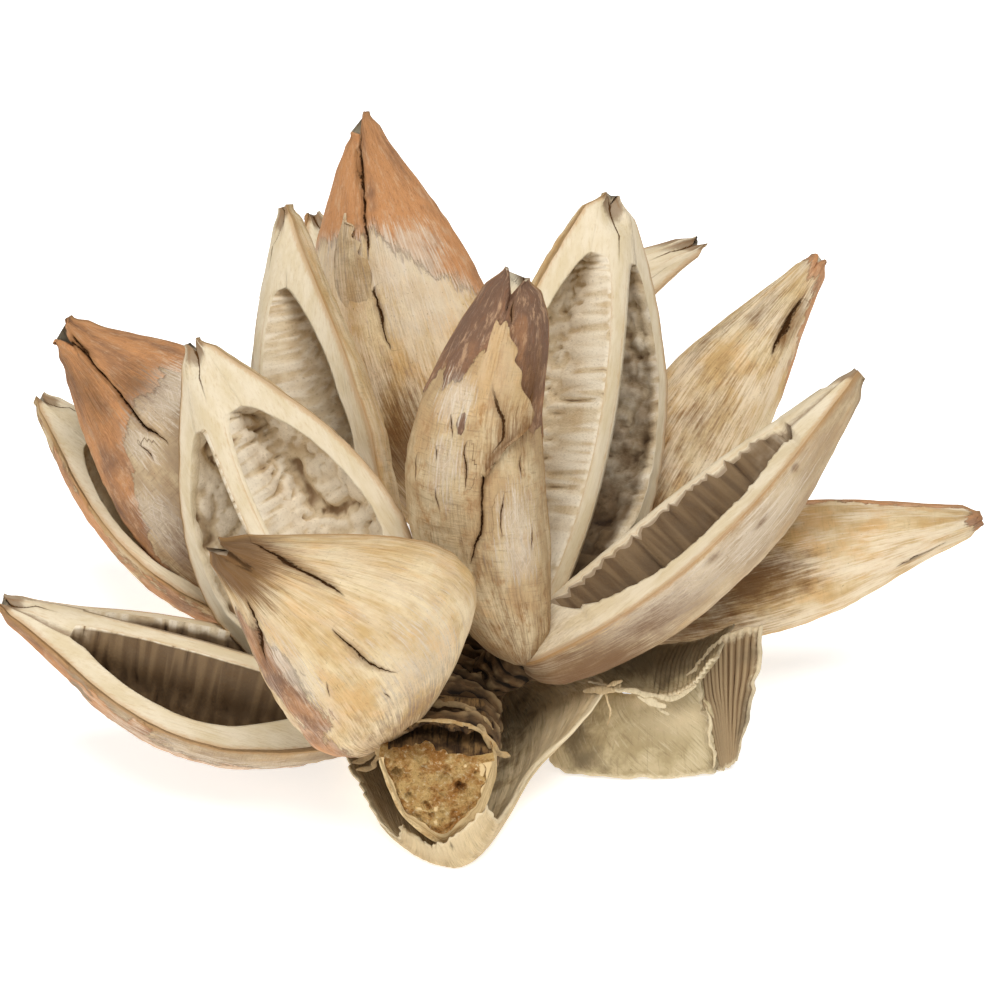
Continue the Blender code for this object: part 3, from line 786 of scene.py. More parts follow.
arcStretch = 1.3  # millimetres of wall for each millimetre of half width, on average


def valveFrame(valve, base):
    # The valve's start, its run from foot to tip, and its side and inward directions.
    start, tip = np.array(base, float), np.array(valve["tip"], float)
    inward = np.array(valve["faces"], float)
    axis = unit(tip - start)
    inward = unit(inward - axis * inward.dot(axis))
    start = start - inward * valveForm["heel"]
    run = tip - start
    axis = unit(run)
    inward = unit(inward - axis * inward.dot(axis))
    return start, run, np.cross(axis, inward), inward


def valveSizes(valve, s):
    # Half width, keel depth and septum height at the shares s of the valve's length.
    widest = valveForm["widestAt"]
    rise = valve["foot"] + (1 - valve["foot"]) * np.sin(np.pi / 2 * (np.minimum(s, widest) / widest) ** 0.8)
    fall = np.cos(np.pi / 2 * np.clip((s - widest) / (1 - widest), 0, 1)) ** valve["taper"]
    half = valve["half"] * np.where(s < widest, rise, fall) + valveForm["tipHalfWidth"] * s**6
    keel = mix(1.6, valve["depth"], (half / valve["half"]) ** 0.8)
    pointed = 1 - 0.62 * smoothStep(0.955, 1.0, s)
    pointed = pointed * (0.3 + 0.7 * np.sqrt(1 - (1 - np.clip(s / 0.05, 0, 1)) ** 2))
    return half * pointed, keel * mix(1, pointed, 0.6), valveForm["septumRise"] * half * pointed


def placeOnValve(valve, base, s, x, z):
    # Points of the plan for places in the valve's own section.
    start, run, side, inward = valveFrame(valve, base)
    centre = start + run * s[..., None]
    bend = np.sin(np.pi * s)[..., None]
    centre = centre - inward * valve["bow"] * bend + side * valve["sway"] * bend
    centre = centre + np.array(valve["shift"], float) * ((1 - s) ** 4)[..., None]
    x = x * mix(np.where(x > 0, *valve["sides"]), 1, smoothStep(0.62, 0.9, s))
    return centre + side * x[..., None] + inward * z[..., None]


def localPlace(valve, length, s, x, z):
    # The valve's own coordinates for patterns: across, along and through, set apart for each valve.
    return np.stack([x, s * length, z], axis=-1) + valve["seed"] * patternGap


def valveStations(valve):
    # Shares of the length for the sections, closer together where the chamber's arch closes.
    fine = np.linspace(0, 1, 2001)
    closeness = 1 + 5 * np.exp(-(((fine - valve["chamber"][1] + 0.012) / 0.022) ** 2))
    reached = np.cumsum(closeness)
    reached = (reached - reached[0]) / (reached[-1] - reached[0])
    return np.interp(np.linspace(0, 1, valveForm["stations"]), reached, fine)


def chamberOpening(valve, s):
    start, end = valve["chamber"]
    across = np.clip(np.abs(2 * (s - start) / (end - start) - 1), 0, 1)
    power = 2.2 + 2.2 * smoothStep(0.4, 0.6, s)
    return (1 - across**power) ** (1 / power)


def bothSides(values, sign=1):
    # Adds the left half of a section to its right half.
    return np.concatenate([values, sign * values[..., -2:0:-1]], axis=-1)


def valveGrid(valve, base):
    # Points, local places and zones of one valve. Rows run from foot to tip, columns once round.
    form = valveForm
    s = valveStations(valve)[:, None]
    half, keel, septum = valveSizes(valve, s)
    length = np.linalg.norm(valveFrame(valve, base)[1])
    alongOnly = np.concatenate([s * length, s * 0, s * 0], axis=1)
    flutter = 0.022 * waves(alongOnly, 9, valve["seed"]) + 0.009 * waves(
        alongOnly, 2.2, valve["seed"] + 0.5,
    )
    half = half * (1 + flutter[:, None])
    fork = np.clip((s - form["forkFrom"]) / (1 - form["forkFrom"]), 0, 1)
    middle = (septum - keel) / 2
    opening = chamberOpening(valve, s)
    widened = 0.34 * (1 - opening) ** 1.15 * smoothStep(0.4, 0.6, s)
    edgeX = mix(np.minimum(form["septumHalf"], 0.35 * half) + form["forkGap"] * fork, half, widened)
    jags = np.abs(waves(alongOnly, 1.9, 81)) + 0.6 * np.abs(waves(alongOnly, 0.9, 82))
    torn = valve["ragged"] * jags[:, None] * smoothStep(0.2, 0.6, opening)
    edgeX = edgeX + 0.2 * torn
    edgeZ = mix(septum * 0.96, 0, widened) - torn
    faceLength = np.hypot(half - edgeX, edgeZ)
    lipShare = (1 - np.minimum(valve["rim"] / faceLength, 0.5)) * np.maximum(opening, 0.06)
    lipX, lipZ = mix(edgeX, half, lipShare), mix(edgeZ, 0, lipShare)

    c = np.linspace(0, 1, form["septumSteps"])[None, :-1]
    septumX, septumZ = edgeX * c, mix(mix(septum, middle + 0.3, fork), edgeZ, c**2)
    step = np.linspace(0, 1, form["chamberSteps"])[None, :-1]
    step = mix(step, 0.5 - 0.5 * np.cos(np.pi * step), 0.55)
    flatX, flatZ = mix(edgeX, lipX, step), mix(edgeZ, lipZ, step)
    bottom = np.minimum(-keel * np.sqrt(np.clip(1 - (flatX / half) ** 2, 0, 1)) + form["wall"], flatZ)
    wall = (1 - np.abs(2 * step - 1) ** 3.5) ** (1 / 3.5)
    sunk = wall * np.minimum(1, opening * 1.15)
    f = np.linspace(0, 1, form["faceSteps"])[None, :-1]
    g = np.linspace(0, 1, form["shellSteps"])[None, :]
    turn = np.pi / 2 * mix(g, 0.5 - 0.5 * np.cos(np.pi * g), 0.5)
    shellX = np.where(g == 1, 0, np.maximum(half * np.cos(turn), form["forkGap"] * fork * (1 - g**8)))
    shellZ = np.where(g == 1, mix(-keel, middle - 0.3, fork), -keel * np.sin(turn))

    rows = len(s)
    parts = {
        "x": (septumX, flatX, mix(lipX, half, f), shellX),
        "z": (septumZ, mix(flatZ, bottom, sunk), mix(lipZ, 0, f), shellZ),
        "rimGap": (
            edgeX * (1 - c), 0 * flatX + farOff, (1 - f) * np.hypot(half - lipX, lipZ),
            turn * (half + keel) / 2,
        ),
        "sunk": (0 * septumX, sunk, 0 * f + 0 * s, 0 * shellX),
    }
    x, z, rimGap, sunk = (
        np.concatenate([np.broadcast_to(part, (rows, part.shape[1])) for part in group], axis=1)
        for group in parts.values()
    )
    counts = [c.shape[1], step.shape[1], f.shape[1], g.shape[1]]
    zone = np.repeat([faceZone, liningZone, faceZone, huskZone], counts)
    place = np.concatenate([np.ones(sum(counts[:3])), 1 - turn[0] / (np.pi / 2)])
    x, z, rimGap, sunk = bothSides(x, -1), bothSides(z), bothSides(rimGap), bothSides(sunk)
    zone = bothSides(zone)
    shares = np.broadcast_to(s, x.shape)
    first, second = valve["tipStep"]
    offKeel = smoothStep(0.0, 0.5, np.abs(x))
    shorter = np.where(x > 0, first, second) * smoothStep(0.88, 1.0, s) * offKeel
    notch = 3.8 * valve["tipSpread"] * fork * (1 - offKeel)
    spread = np.sign(x) * valve["tipSpread"] * fork**2 * offKeel
    points = placeOnValve(valve, base, shares - (shorter + notch) / length, x + spread, z)
    aroundWall = bothSides(place, -1) * valve["half"] * arcStretch
    local = localPlace(
        valve, length, shares, np.where(zone == huskZone, aroundWall, x), np.where(zone == huskZone, 0, z),
    )
    grid = {"x": x, "s": shares, "half": half, "rimGap": rimGap, "sunk": sunk, "opening": opening}
    grid["zone"] = np.broadcast_to(zone, x.shape)
    grid["place"] = np.broadcast_to(bothSides(place, -1), x.shape)
    return points, local, length, grid


def patchField(patches, grid, length):
    # The strongest of the named patches: its strength at the middle and 0 at its edge.
    field = np.full(grid["s"].shape, -1.0)
    for atS, atPlace, long, wide, strength in patches:
        away = np.hypot(
            (grid["s"] - atS) * length / long, (grid["place"] - atPlace) * grid["half"] * arcStretch / wide,
        )
        field = np.maximum(field, strength * (1 - away))
    return field


def crackFields(cracks, grid, length, local):
    # Signed distance to the nearest crack as a share of its width, how near it is, and its depth.
    shape = grid["s"].shape
    offset, nearness, depth = np.full(shape, 5.0), np.zeros(shape), np.zeros(shape)
    reach = grid["half"] * arcStretch
    along, across = grid["s"] * length, grid["place"] * reach
    wobble = waves(local, (3, 5, 3), 21) * 0.7 + waves(local, (0.9, 1.3, 0.9), 22) * 0.22
    for width, deep, corners in cracks:
        line = openCurve(np.array(corners, float), np.linspace(0, 1, 6 * len(corners)))
        sizeAtLine = np.interp(line[:, 0], grid["s"][:, 0], reach[:, 0])
        path = np.stack([line[:, 0] * length, line[:, 1] * sizeAtLine], axis=-1)
        order = np.argsort(path[:, 0])
        middle = np.interp(along, path[order, 0], path[order, 1])
        beside = across - middle + wobble
        fromEnd = np.minimum(along - path[:, 0].min(), path[:, 0].max() - along)
        if corners[0][0] >= 1.0:
            fromEnd = along - path[:, 0].min()
        ends = smoothStep(-0.3, 5.0, fromEnd)
        size = width * (0.35 + 0.65 * ends)
        near = smoothStep(1.6 + 2.2 * width, 0.8 + width, np.abs(beside)) * smoothStep(-0.3, 1.5, fromEnd)
        closer = near > nearness
        offset = np.where(closer, beside / size, offset)
        depth = np.where(closer, deep * smoothStep(0.9 * size, 0.15 * size, np.abs(beside)) * ends, depth)
        nearness = np.where(closer, near, nearness)
    return offset, nearness, depth


def liningRelief(valve, local, grid):
    # The soft folds across a seed chamber: puffs with narrow creases, and short pleats beside the septum.
    bend = np.stack([0 * grid["x"], waves(local, 9, 1) * 2.6, 0 * grid["x"]], axis=-1)
    warped = (local + bend) / valve["liningSize"]
    puffs = np.minimum(1, 2.4 * np.abs(waves(warped, (6.5, 2.9, 6.5), 2))) ** 0.6
    small = np.minimum(1, 2.6 * np.abs(waves(warped, (2.8, 1.5, 2.8), 3)))
    pleats = np.abs(np.sin(np.pi * (warped[..., 1] + 0.6 * waves(local, (2, 2, 2), 4)) / 1.9)) ** 0.6
    ribTurn = (local + 0.7 * bend)[..., 1] / 2.9 + 0.45 * waves(local, (5, 3, 5), 12)
    ribs = np.abs(np.sin(np.pi * ribTurn)) ** 0.7
    ribs = mix(0.6, ribs, np.clip(0.75 + 0.6 * waves(local, (4, 6, 4), 13), 0.2, 1.2))
    besideSeptum = smoothStep(7, 3.5, np.abs(grid["x"]))
    uneven = 1.3 * (puffs - 0.6) * (1 - 0.6 * besideSeptum) + 0.85 * (small - 0.5)
    uneven = uneven + 1.1 * besideSeptum * (pleats - 0.5)
    even = 1.5 * (ribs - 0.6) + 0.4 * (small - 0.5)
    return mix(uneven, even, valve["liningRibs"]) * valve["liningFold"]


def skinField(valve, local, grid, length):
    # Millimetres inside the edge of the red-brown skin, below zero where it has gone.
    skin = np.full(grid["s"].shape, -6.0)
    ragged = 3.2 * waves(local, (3.5, 6, 3.5), 8) + 1.6 * waves(local, (1.3, 3.5, 1.3), 9)
    if valve["skinLine"]:
        places, shares = zip(*valve["skinLine"])
        skin = (grid["s"] - np.interp(grid["place"], places, shares)) * length + ragged
    patches = patchField(valve["skinPatches"], grid, length) * 4 + 0.6 * ragged
    return np.clip(np.maximum(skin, patches), -6, 6)


def shellDents(local):
    return 0.6 * waves(local, (11, 18, 11), 4) + 0.25 * waves(local, (4, 9, 4), 5)


def dressValve(name, valve, base):
    points, local, length, grid = valveGrid(valve, base)
    zone, x = grid["zone"], grid["x"]
    onShell, onLining = zone == huskZone, zone == liningZone
    normals = surfaceNormals(points, closedRound=True)
    relief = liningRelief(valve, local, grid)
    skin = skinField(valve, local, grid, length)
    offset, near, depth = crackFields(valve["cracks"], grid, length, local)
    fibres = 0.1 * waves(local, (0.9, 7, 0.9), 10)
    crinkles = valve["cross"] * 0.3 * waves(local, (5, 1.4, 5), 6)
    shellPush = (shellDents(local) + fibres + crinkles) * smoothStep(0.0, 3.0, grid["rimGap"])
    shellPush += 0.35 * smoothStep(-0.4, 0.4, skin) * smoothStep(-6, -5.9, skin) - depth
    push = np.where(onShell, shellPush, 0.12 * waves(local, (2.5, 6, 2.5), 7))
    push = np.where(onLining, relief * np.clip(grid["sunk"] * 1.3, 0, 1), push)

    septumSlit = smoothStep(0.84, 0.92, grid["s"]) * (np.abs(x) < 1.5)
    offset = np.where(onShell, offset, x * 1.4)
    near = np.where(onShell, near, septumSlit * (zone == faceZone))
    # painted shade: husk and split face turn darker brown toward the foot, where the bases lie in shade; it
    # shares one field with the real stains
    footShade = 1.3 * smoothStep(0.22, 0.0, grid["s"])
    stainAndShade = np.maximum(patchField(valve["stainsAndShadows"], grid, length), footShade - 0.8)
    # each chamber's brown: real stain and painted shade together; the extra brown toward the foot is
    # painted shade
    liningStainAndShade = np.where(x < 0, *valve["liningStainAndShade"]) * mix(1, 0.55, smoothStep(0.6, 0.78, grid["s"]))
    liningStainAndShade = liningStainAndShade + 0.5 * smoothStep(0.5, 0.2, grid["s"])
    # painted shade: the split face turns dark brown in the gap between the tip's two halves; the brown at
    # the broken tip end is its own colour
    inFork = 1.5 * smoothStep(0.93, 0.975, grid["s"]) * smoothStep(2.6, 1.2, np.abs(x))
    brokenTip = 1.6 * smoothStep(0.985, 0.998, grid["s"])
    stainAndShade = np.where(zone == faceZone, np.maximum(stainAndShade, np.maximum(inFork, brokenTip)), stainAndShade)
    stainAndShade = np.where(onLining, liningStainAndShade, stainAndShade)
    bare = np.clip(patchField(valve["bare"], grid, length) * 4, -4, 4)

    points = points + normals * push[..., None]
    points[..., 2] = np.maximum(points[..., 2], 0.3)
    fields = {
        "grain": local,
        # skin edge or chamber relief, stain with painted shade, and bare bloom; the relief also drives
        # painted crease shade in the lining
        "wearAndShade": np.stack([np.where(onShell, skin, relief), stainAndShade, bare], axis=-1),
        "crack": np.stack([np.clip(offset, -5, 5), near, np.clip(grid["rimGap"], 0, farOff)], axis=-1),
        "tint": np.broadcast_to([valve["warm"], valve["pale"], valve["cross"]], points.shape),
        "age": np.broadcast_to([valve["dull"], valve["skinDark"], valve["skinSoft"]], points.shape),
    }
    zones = zone.copy()
    zones[(zones == liningZone) & (grid["opening"] <= 0.01)] = faceZone
    return gridMesh(f"{name}_{valve['key']}", points, fields, capsuleMaterials, zones, capZone=faceZone)


# Flakes of husk that stand off a valve. Each edge is a list of (share of length, place).
flakes = {
    "capsule_middle": (
        {
            "valve": "front",
            "rooted": ((0.89, 0.16), (0.80, 0.18), (0.70, 0.12), (0.60, 0.02), (0.54, -0.03)),
            "free": (
                (0.895, -0.1), (0.835, -0.2), (0.78, -0.3), (0.70, -0.5), (0.655, -0.56), (0.60, -0.28),
                (0.545, -0.1),
            ),
            "lift": 1.7, "warm": 0.9, "pale": 0.3, "paintedLobeShade": 1.1, "split": 1.0, "bare": -4.0, "sinks": 0.4,
        },
    ),
    "capsule_rear": (
        {
            "valve": "top", "rooted": ((0.77, 0.27), (0.72, 0.40), (0.64, 0.42), (0.55, 0.3)),
            "free": ((0.775, 0.25), (0.72, 0.16), (0.65, 0.075), (0.56, 0.1)),
            "lift": 1.5, "warm": 0.3, "pale": 0.9, "paintedLobeShade": 0.0, "split": 0.0, "bare": -0.6, "sinks": 1.0,
        },
    ),
}
flakeGrid = (64, 34)
flakeThickness = 0.4


def buildFlake(name, valve, base, plan):
    length = np.linalg.norm(valveFrame(valve, base)[1])
    v, w = np.meshgrid(np.linspace(0, 1, flakeGrid[0]), np.linspace(0, 1, flakeGrid[1]), indexing="ij")
    rooted, free = (openCurve(np.array(plan[edge], float), v[:, 0]) for edge in ("rooted", "free"))
    spot = mix(rooted[:, None, :], free[:, None, :], w[..., None])
    ragged = np.stack([v * length * np.ptp(rooted[:, 0]), w * 15, 0 * v], axis=-1)
    freeSide = np.sign(free[:, None, 1] - rooted[:, None, 1])
    spot[..., 1] += 0.06 * waves(ragged, (2.2, 9, 1), 61) * w * freeSide
    spot[..., 0] += 0.012 * waves(ragged, (9, 1.4, 1), 62) * smoothStep(0.75, 1.0, np.abs(2 * v - 1))
    half, keel, _ = valveSizes(valve, spot[..., 0])
    turn = np.pi / 2 * (1 - np.abs(spot[..., 1]))
    x, z = np.sign(spot[..., 1]) * half * np.cos(turn), -keel * np.sin(turn)
    points = placeOnValve(valve, base, spot[..., 0], x, z)
    aroundWall = spot[..., 1] * valve["half"] * arcStretch
    local = localPlace(valve, length, spot[..., 0], aroundWall, 0 * z)
    _, _, side, inward = valveFrame(valve, base)
    outward = unit(side * (x / half**2)[..., None] + inward * (z / keel**2)[..., None])
    lift = 0.45 + plan["lift"] * w**1.6 * (0.7 + 0.5 * waves(ragged, (6, 5, 1), 63)) + 0.15 * waves(
        local, (2, 5, 2), 64,
    )
    sunk = np.maximum(smoothStep(0.3, 0.0, w), smoothStep(0.6, 1.0, v) * plan["sinks"])
    lift = mix(lift, -0.35, sunk) + shellDents(local)
    points = points + outward * lift[..., None]
    still = np.zeros_like(points)
    rimGap = np.minimum(1 - w, np.minimum(v, 1 - v) * 2) * farOff
    # painted shade: darker brown where the flake's lower lobe folds over
    paintedLobeShade = plan["paintedLobeShade"] * (1 - np.hypot((v - 0.8) / 0.3, (w - 0.75) / 0.6))
    split = (w - 0.45 - 0.1 * waves(ragged, (7, 99, 1), 65)) * 14
    fields = {
        "grain": local,
        "wearAndShade": np.stack([0 * v - 6, paintedLobeShade, 0 * v + plan["bare"]], axis=-1),
        "crack": np.stack(
            [split, plan["split"] * smoothStep(0.35, 0.5, v) * smoothStep(0.85, 0.7, v), 1.0 + rimGap],
            axis=-1,
        ),
        "tint": still + (plan["warm"], plan["pale"], 0.3),
        "age": still + (0.3, 0, 0),
    }
    piece = gridMesh(name, points, fields, capsuleMaterials, None, closedRound=False, capped=False)
    solid = piece.modifiers.new("Thickness", "SOLIDIFY")
    solid.thickness = flakeThickness * mm
    solid.offset = 0
    bpy.context.view_layer.update()
    applyModifiers(piece)
    return piece


footForm = {
    "shares": (-0.45, 0.05, 0.55, 1.0),  # along from the capsule to the stalk, starting inside the valves
    "radii": (4.6, 5.2, 4.6, 4.2),
    "steps": 60,
    "wrinklePitch": 3.1,
}


def capsuleFoot(name, base, root):
    # The short wrinkled neck between a capsule and the stalk.
    start, end = np.array(base, float), np.array(root, float)
    axis = unit(end - start)
    side = unit(np.cross(axis, (0.3, 0.9, 0.1)))
    up = np.cross(axis, side)
    steps = footForm["steps"]
    share = np.linspace(footForm["shares"][0], 1, steps)[:, None]
    radius = np.interp(share, footForm["shares"], footForm["radii"])
    turn = np.linspace(0, 2 * np.pi, steps, endpoint=False)[None, :]
    centre = (start + (end - start) * share)[:, None, :]
    points = centre + (side * np.cos(turn)[..., None] + up * np.sin(turn)[..., None]) * radius[..., None]
    along = share * np.linalg.norm(end - start) + 1.2 * waves(points, 4, 9)
    along = along + 1.6 * waves(points, 2.6, 11)
    relief = 1.3 * (np.abs(np.sin(np.pi * along / footForm["wrinklePitch"])) ** 0.6 - 0.8) + 0.6 * waves(
        points, 1.4, 10,
    )
    points = points + unit(points - centre) * (0.5 * relief)[..., None]
    still = np.zeros_like(points)
    fields = {
        "grain": points, "wearAndShade": np.stack([relief, 0 * relief, 0 * relief], axis=-1), "crack": still,
        "tint": still, "age": still,
    }
    zones = np.full((steps - 1, steps), stalkZone)
    return gridMesh(f"{name}_foot", points, fields, capsuleMaterials, zones)


def buildCapsules():
    seed = 0
    for name, plan in capsules.items():
        parts, valves = [], {}
        for key, settings in plan["valves"].items():
            seed += 1
            valves[key] = {**valveDefaults, **settings, "seed": seed, "key": key}
            parts.append(dressValve(name, valves[key], plan["base"]))
        for count, flake in enumerate(flakes.get(name, ())):
            parts.append(buildFlake(f"{name}_flake_{count}", valves[flake["valve"]], plan["base"], flake))
        piece = joinObjects(capsuleFoot(name, plan["base"], plan["root"]), parts)
        piece.name = piece.data.name = f"{name}_husk"
        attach(piece, "root")
        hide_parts(name)


print("star pod: capsules")
buildCapsules()

# Stalk: its outline as shares of half its width and height, and its line away from the cut end

stalkForm = {
    "outline": (
        (0, 1), (0.35, 0.97), (0.68, 0.84), (0.92, 0.58), (1, 0.25), (0.9, -0.1), (0.66, -0.42),
        (0.35, -0.75),
        (0, -1), (-0.35, -0.75), (-0.66, -0.42), (-0.9, -0.1), (-1, 0.25), (-0.92, 0.58), (-0.68, 0.84),
        (-0.35, 0.97),
    ),
    # the cut end, across and up in millimetres: wide above, drawn to a blunt point below
    "endOutline": (
        (-10.3, 30), (-6.5, 29.4), (-3, 28), (-0.4, 25.6), (0.9, 22.5), (0.2, 17.5), (-1.6, 12), (-5, 7),
        (-9.6, 4), (-14.2, 7), (-18, 12.6), (-20.2, 19.2), (-21.3, 24.5), (-20, 27.4), (-17, 29.2),
        (-13.6, 30),
    ),
    # distance along Y, middle in X, half width, underside and top
    "line": (
        (4, -10.5, 10.2, 3.6, 30), (14, -9.5, 11, 2.8, 29), (19, -9.5, 10.6, 2.6, 26),
        (62, -7.5, 9.5, 2.4, 23.5), (84, -7, 7, 4, 19),
    ),
    "endTo": (7, 17),  # where the cut end's outline has turned into the stalk's
    "rows": 230,
    "columns": 150,
    "wrinklePitch": 2.1,
    "wrinkleDepth": 1.3,
    "wrinkledFrom": 11.0,
    "pithMiddle": (-10.6, 19.0),
    "pithInset": 1.0,
    "pithDepth": 0.55,
    "pithRings": 70,
    "pits": (
        (-18, 20.5, 1.6, 2.2), (-5.8, 17, 1.9, 2.2), (-16, 15.6, 0.9, 1), (-11.5, 10.5, 1, 1),
        (-9, 19.5, 1.2, 0.8), (-12.6, 13, 1.1, 1),
    ),
    "hollow": (
        (-19.4, 25.2), (-15.5, 24.8), (-10, 24.4), (-5, 23.8), (0, 24), (-0.8, 25.6), (-4.8, 27.2),
        (-10.4, 28.6), (-15.5, 28), (-18.6, 26.8),
    ),
    "hollowTo": 24,
    "trimMiddle": -10.3,
    "trimHalfWidth": 13,
    "trimmedTo": 9,
    "trimmedAbove": 24.2,
}
pithZone, hollowZone = 1, 2  # zone 0 is the bark
stalkMaterials = (stalkSkin, spongyPith, stalkHollow)


def closedCurve(corners, count):
    # Points on the smooth closed curve through the corners.
    corners = np.asarray(corners, float)
    share = np.arange(count) / count * len(corners)
    at = share.astype(int)
    u = (share - at)[:, None]
    p0, p1, p2, p3 = (corners[(at + k) % len(corners)] for k in (-1, 0, 1, 2))
    return smoothSpan(p0, p1, p2, p3, u)


def stalkOutline(y, count):
    # The stalk's section at the distances y, as x and z for each column.
    line = np.array(stalkForm["line"], float)
    middle, width, low, high = (np.interp(y, line[:, 0], line[:, k])[:, None] for k in (1, 2, 3, 4))
    shape = closedCurve(stalkForm["outline"], count)[None]
    end = closedCurve(stalkForm["endOutline"], count)[None]
    turned = smoothStep(*stalkForm["endTo"], y)[:, None]
    x = mix(end[..., 0], middle + shape[..., 0] * width, turned)
    z = mix(end[..., 1], (low + high) / 2 + shape[..., 1] * (high - low) / 2, turned)
    return x, z, shape[..., 1]


def pithCutter():
    # Takes a shallow crumbly recess out of the cut end, so that the rind stands round it.
    form = stalkForm
    startY = form["line"][0][0]
    x, z, _ = stalkOutline(np.array([startY]), 120)
    ring = np.stack([x[0], z[0]], axis=-1)
    middle = np.array(form["pithMiddle"])
    away = np.linalg.norm(ring - middle, axis=1, keepdims=True)
    thicker = 1.1 * smoothStep(-8, 0, ring[:, :1]) + 1.4 * smoothStep(13, 5, ring[:, 1:])
    thicker += 0.5 * waves(np.insert(ring, 1, 0, axis=1), 2.2, 49)[:, None]
    ring = middle + (ring - middle) * (1 - (form["pithInset"] + thicker) / away)
    floorY = startY + form["pithDepth"]
    rows = [np.insert(ring, 1, startY - 1.5, axis=1), np.insert(ring, 1, floorY - 0.5, axis=1)]
    for shrink in np.linspace(1.0, 0.02, form["pithRings"]):
        rows.append(np.insert(middle + (ring - middle) * shrink, 1, floorY, axis=1))
    pith = np.array(rows)
    crumbs = 0.45 * waves(pith, 1.1, 41) + 0.35 * waves(pith, 0.6, 42) + 0.6 * waves(pith, 3.5, 43)
    for atX, atZ, wide, deep in form["pits"]:
        away = np.hypot(pith[..., 0] - atX, pith[..., 2] - atZ) / wide
        crumbs += deep * (1 - smoothStep(0.3, 1.0, away + 0.3 * waves(pith, 0.9, 46)))
    crumbs[:2] = 0
    crumbs[2] *= 0.3
    pith[..., 1] += crumbs
    zones = np.full((len(pith) - 1, pith.shape[1]), pithZone)
    fields = {"grain": pith, "wearAndShade": np.stack([crumbs, 0 * crumbs + 1, 0 * crumbs], axis=-1)}
    return gridMesh("pithRecess", pith, fields, stalkMaterials, zones)


def hollowCutter():
    # Takes out the hollow over the pith, under the stalk's dried collar.
    hollow = closedCurve(stalkForm["hollow"], 80)
    space = np.array([np.insert(hollow, 1, y, axis=1) for y in np.linspace(6.0, stalkForm["hollowTo"], 46)])
    space += unit(space - space.mean(axis=1, keepdims=True)) * (0.45 * waves(space, (1.6, 2.6, 1.6), 44))[
        ..., None,
    ]
    return gridMesh("hollowAbovePith", space, None, stalkMaterials, np.full((45, 80), hollowZone))


def trimCutter():
    # Takes the roof off in front of the collar, with a ragged edge.
    across = np.linspace(-1, 1, 90)
    line = np.stack([across * stalkForm["trimHalfWidth"], 0 * across, 0 * across], axis=-1)
    farY = stalkForm["trimmedTo"] + 1.1 * waves(line, 2.6, 45) + 0.6 * waves(line, 0.8, 46)
    farY = farY + 1.6 * np.abs(across) ** 2
    lowZ = stalkForm["trimmedAbove"] + 0.5 * waves(line, 1.3, 47) + 0.6 * waves(line, 3, 48)
    lowZ = lowZ + 0.8 * np.abs(across) ** 4
    rows = []
    lowZ += 1.4 * smoothStep(-0.35, -0.8, across)
    for near, level in ((2.0, lowZ - 1.2), (farY, lowZ + 0.6), (farY, 0 * lowZ + 36), (2.0, 0 * lowZ + 36)):
        rows.append(np.stack([stalkForm["trimMiddle"] + line[:, 0], near + 0 * across, level], axis=-1))
    zones = np.full((89, 4), hollowZone)
    zones[:, 0] = pithZone
    return gridMesh("collarTrim", np.array(rows).swapaxes(0, 1), None, stalkMaterials, zones)


def buildStalk():
    form = stalkForm
    y = np.linspace(form["line"][0][0], form["line"][-1][0], form["rows"])
    x, z, high = stalkOutline(y, form["columns"])
    points = np.stack([x, np.broadcast_to(y[:, None], x.shape), z], axis=-1)
    normals = surfaceNormals(points, closedRound=True)
    onTop = smoothStep(-0.6, 0.0, high)
    wrinkled = smoothStep(form["wrinkledFrom"] - 3, form["wrinkledFrom"] + 3, points[..., 1]) * onTop
    shifted = points[..., 1] + 2.4 * waves(points, (6, 9, 6), 31) + 0.9 * waves(points, (2.2, 4, 2.2), 32)
    folds = np.abs(np.sin(np.pi * shifted / form["wrinklePitch"] / 2)) ** 0.55
    broken = 0.7 + 0.5 * waves(points, (4, 2.5, 4), 33)
    relief = (folds - 0.72) * broken * 2.4 + 0.5 * waves(points, (1.4, 0.8, 1.4), 34)
    push = form["wrinkleDepth"] * relief * wrinkled + 0.2 * waves(points, (3, 8, 3), 35) * (1 - wrinkled)
    points = points + normals * push[..., None]
    points[..., 2] = np.maximum(points[..., 2], 1.6)
    front = 1 - smoothStep(5.5, 11.0, y)[:, None] + 0 * x
    fields = {
        "grain": points, "wearAndShade": np.stack([relief * np.maximum(wrinkled, 0.3), front, 0 * x], axis=-1),
    }
    body = gridMesh("cutStalk", points, fields, stalkMaterials)
    cutters = (pithCutter(), hollowCutter(), trimCutter())
    for cutter in cutters:
        take = body.modifiers.new("Cut", "BOOLEAN")
        take.operation = "DIFFERENCE"
        take.object = cutter
        take.solver = "EXACT"
    bpy.context.view_layer.update()
    applyModifiers(body)
    body.data.set_sharp_from_angle(angle=math.radians(55))
    for cutter in cutters:
        bpy.data.objects.remove(cutter)
    joinObjects(body, buildShreds("stalk", (stalkSkin, stalkSkin)))
    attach(body, "root")
    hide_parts("stalk")


# Shreds: torn strips and fibres.
# Each is a path in millimetres, its width, its thickness and how pale it is.

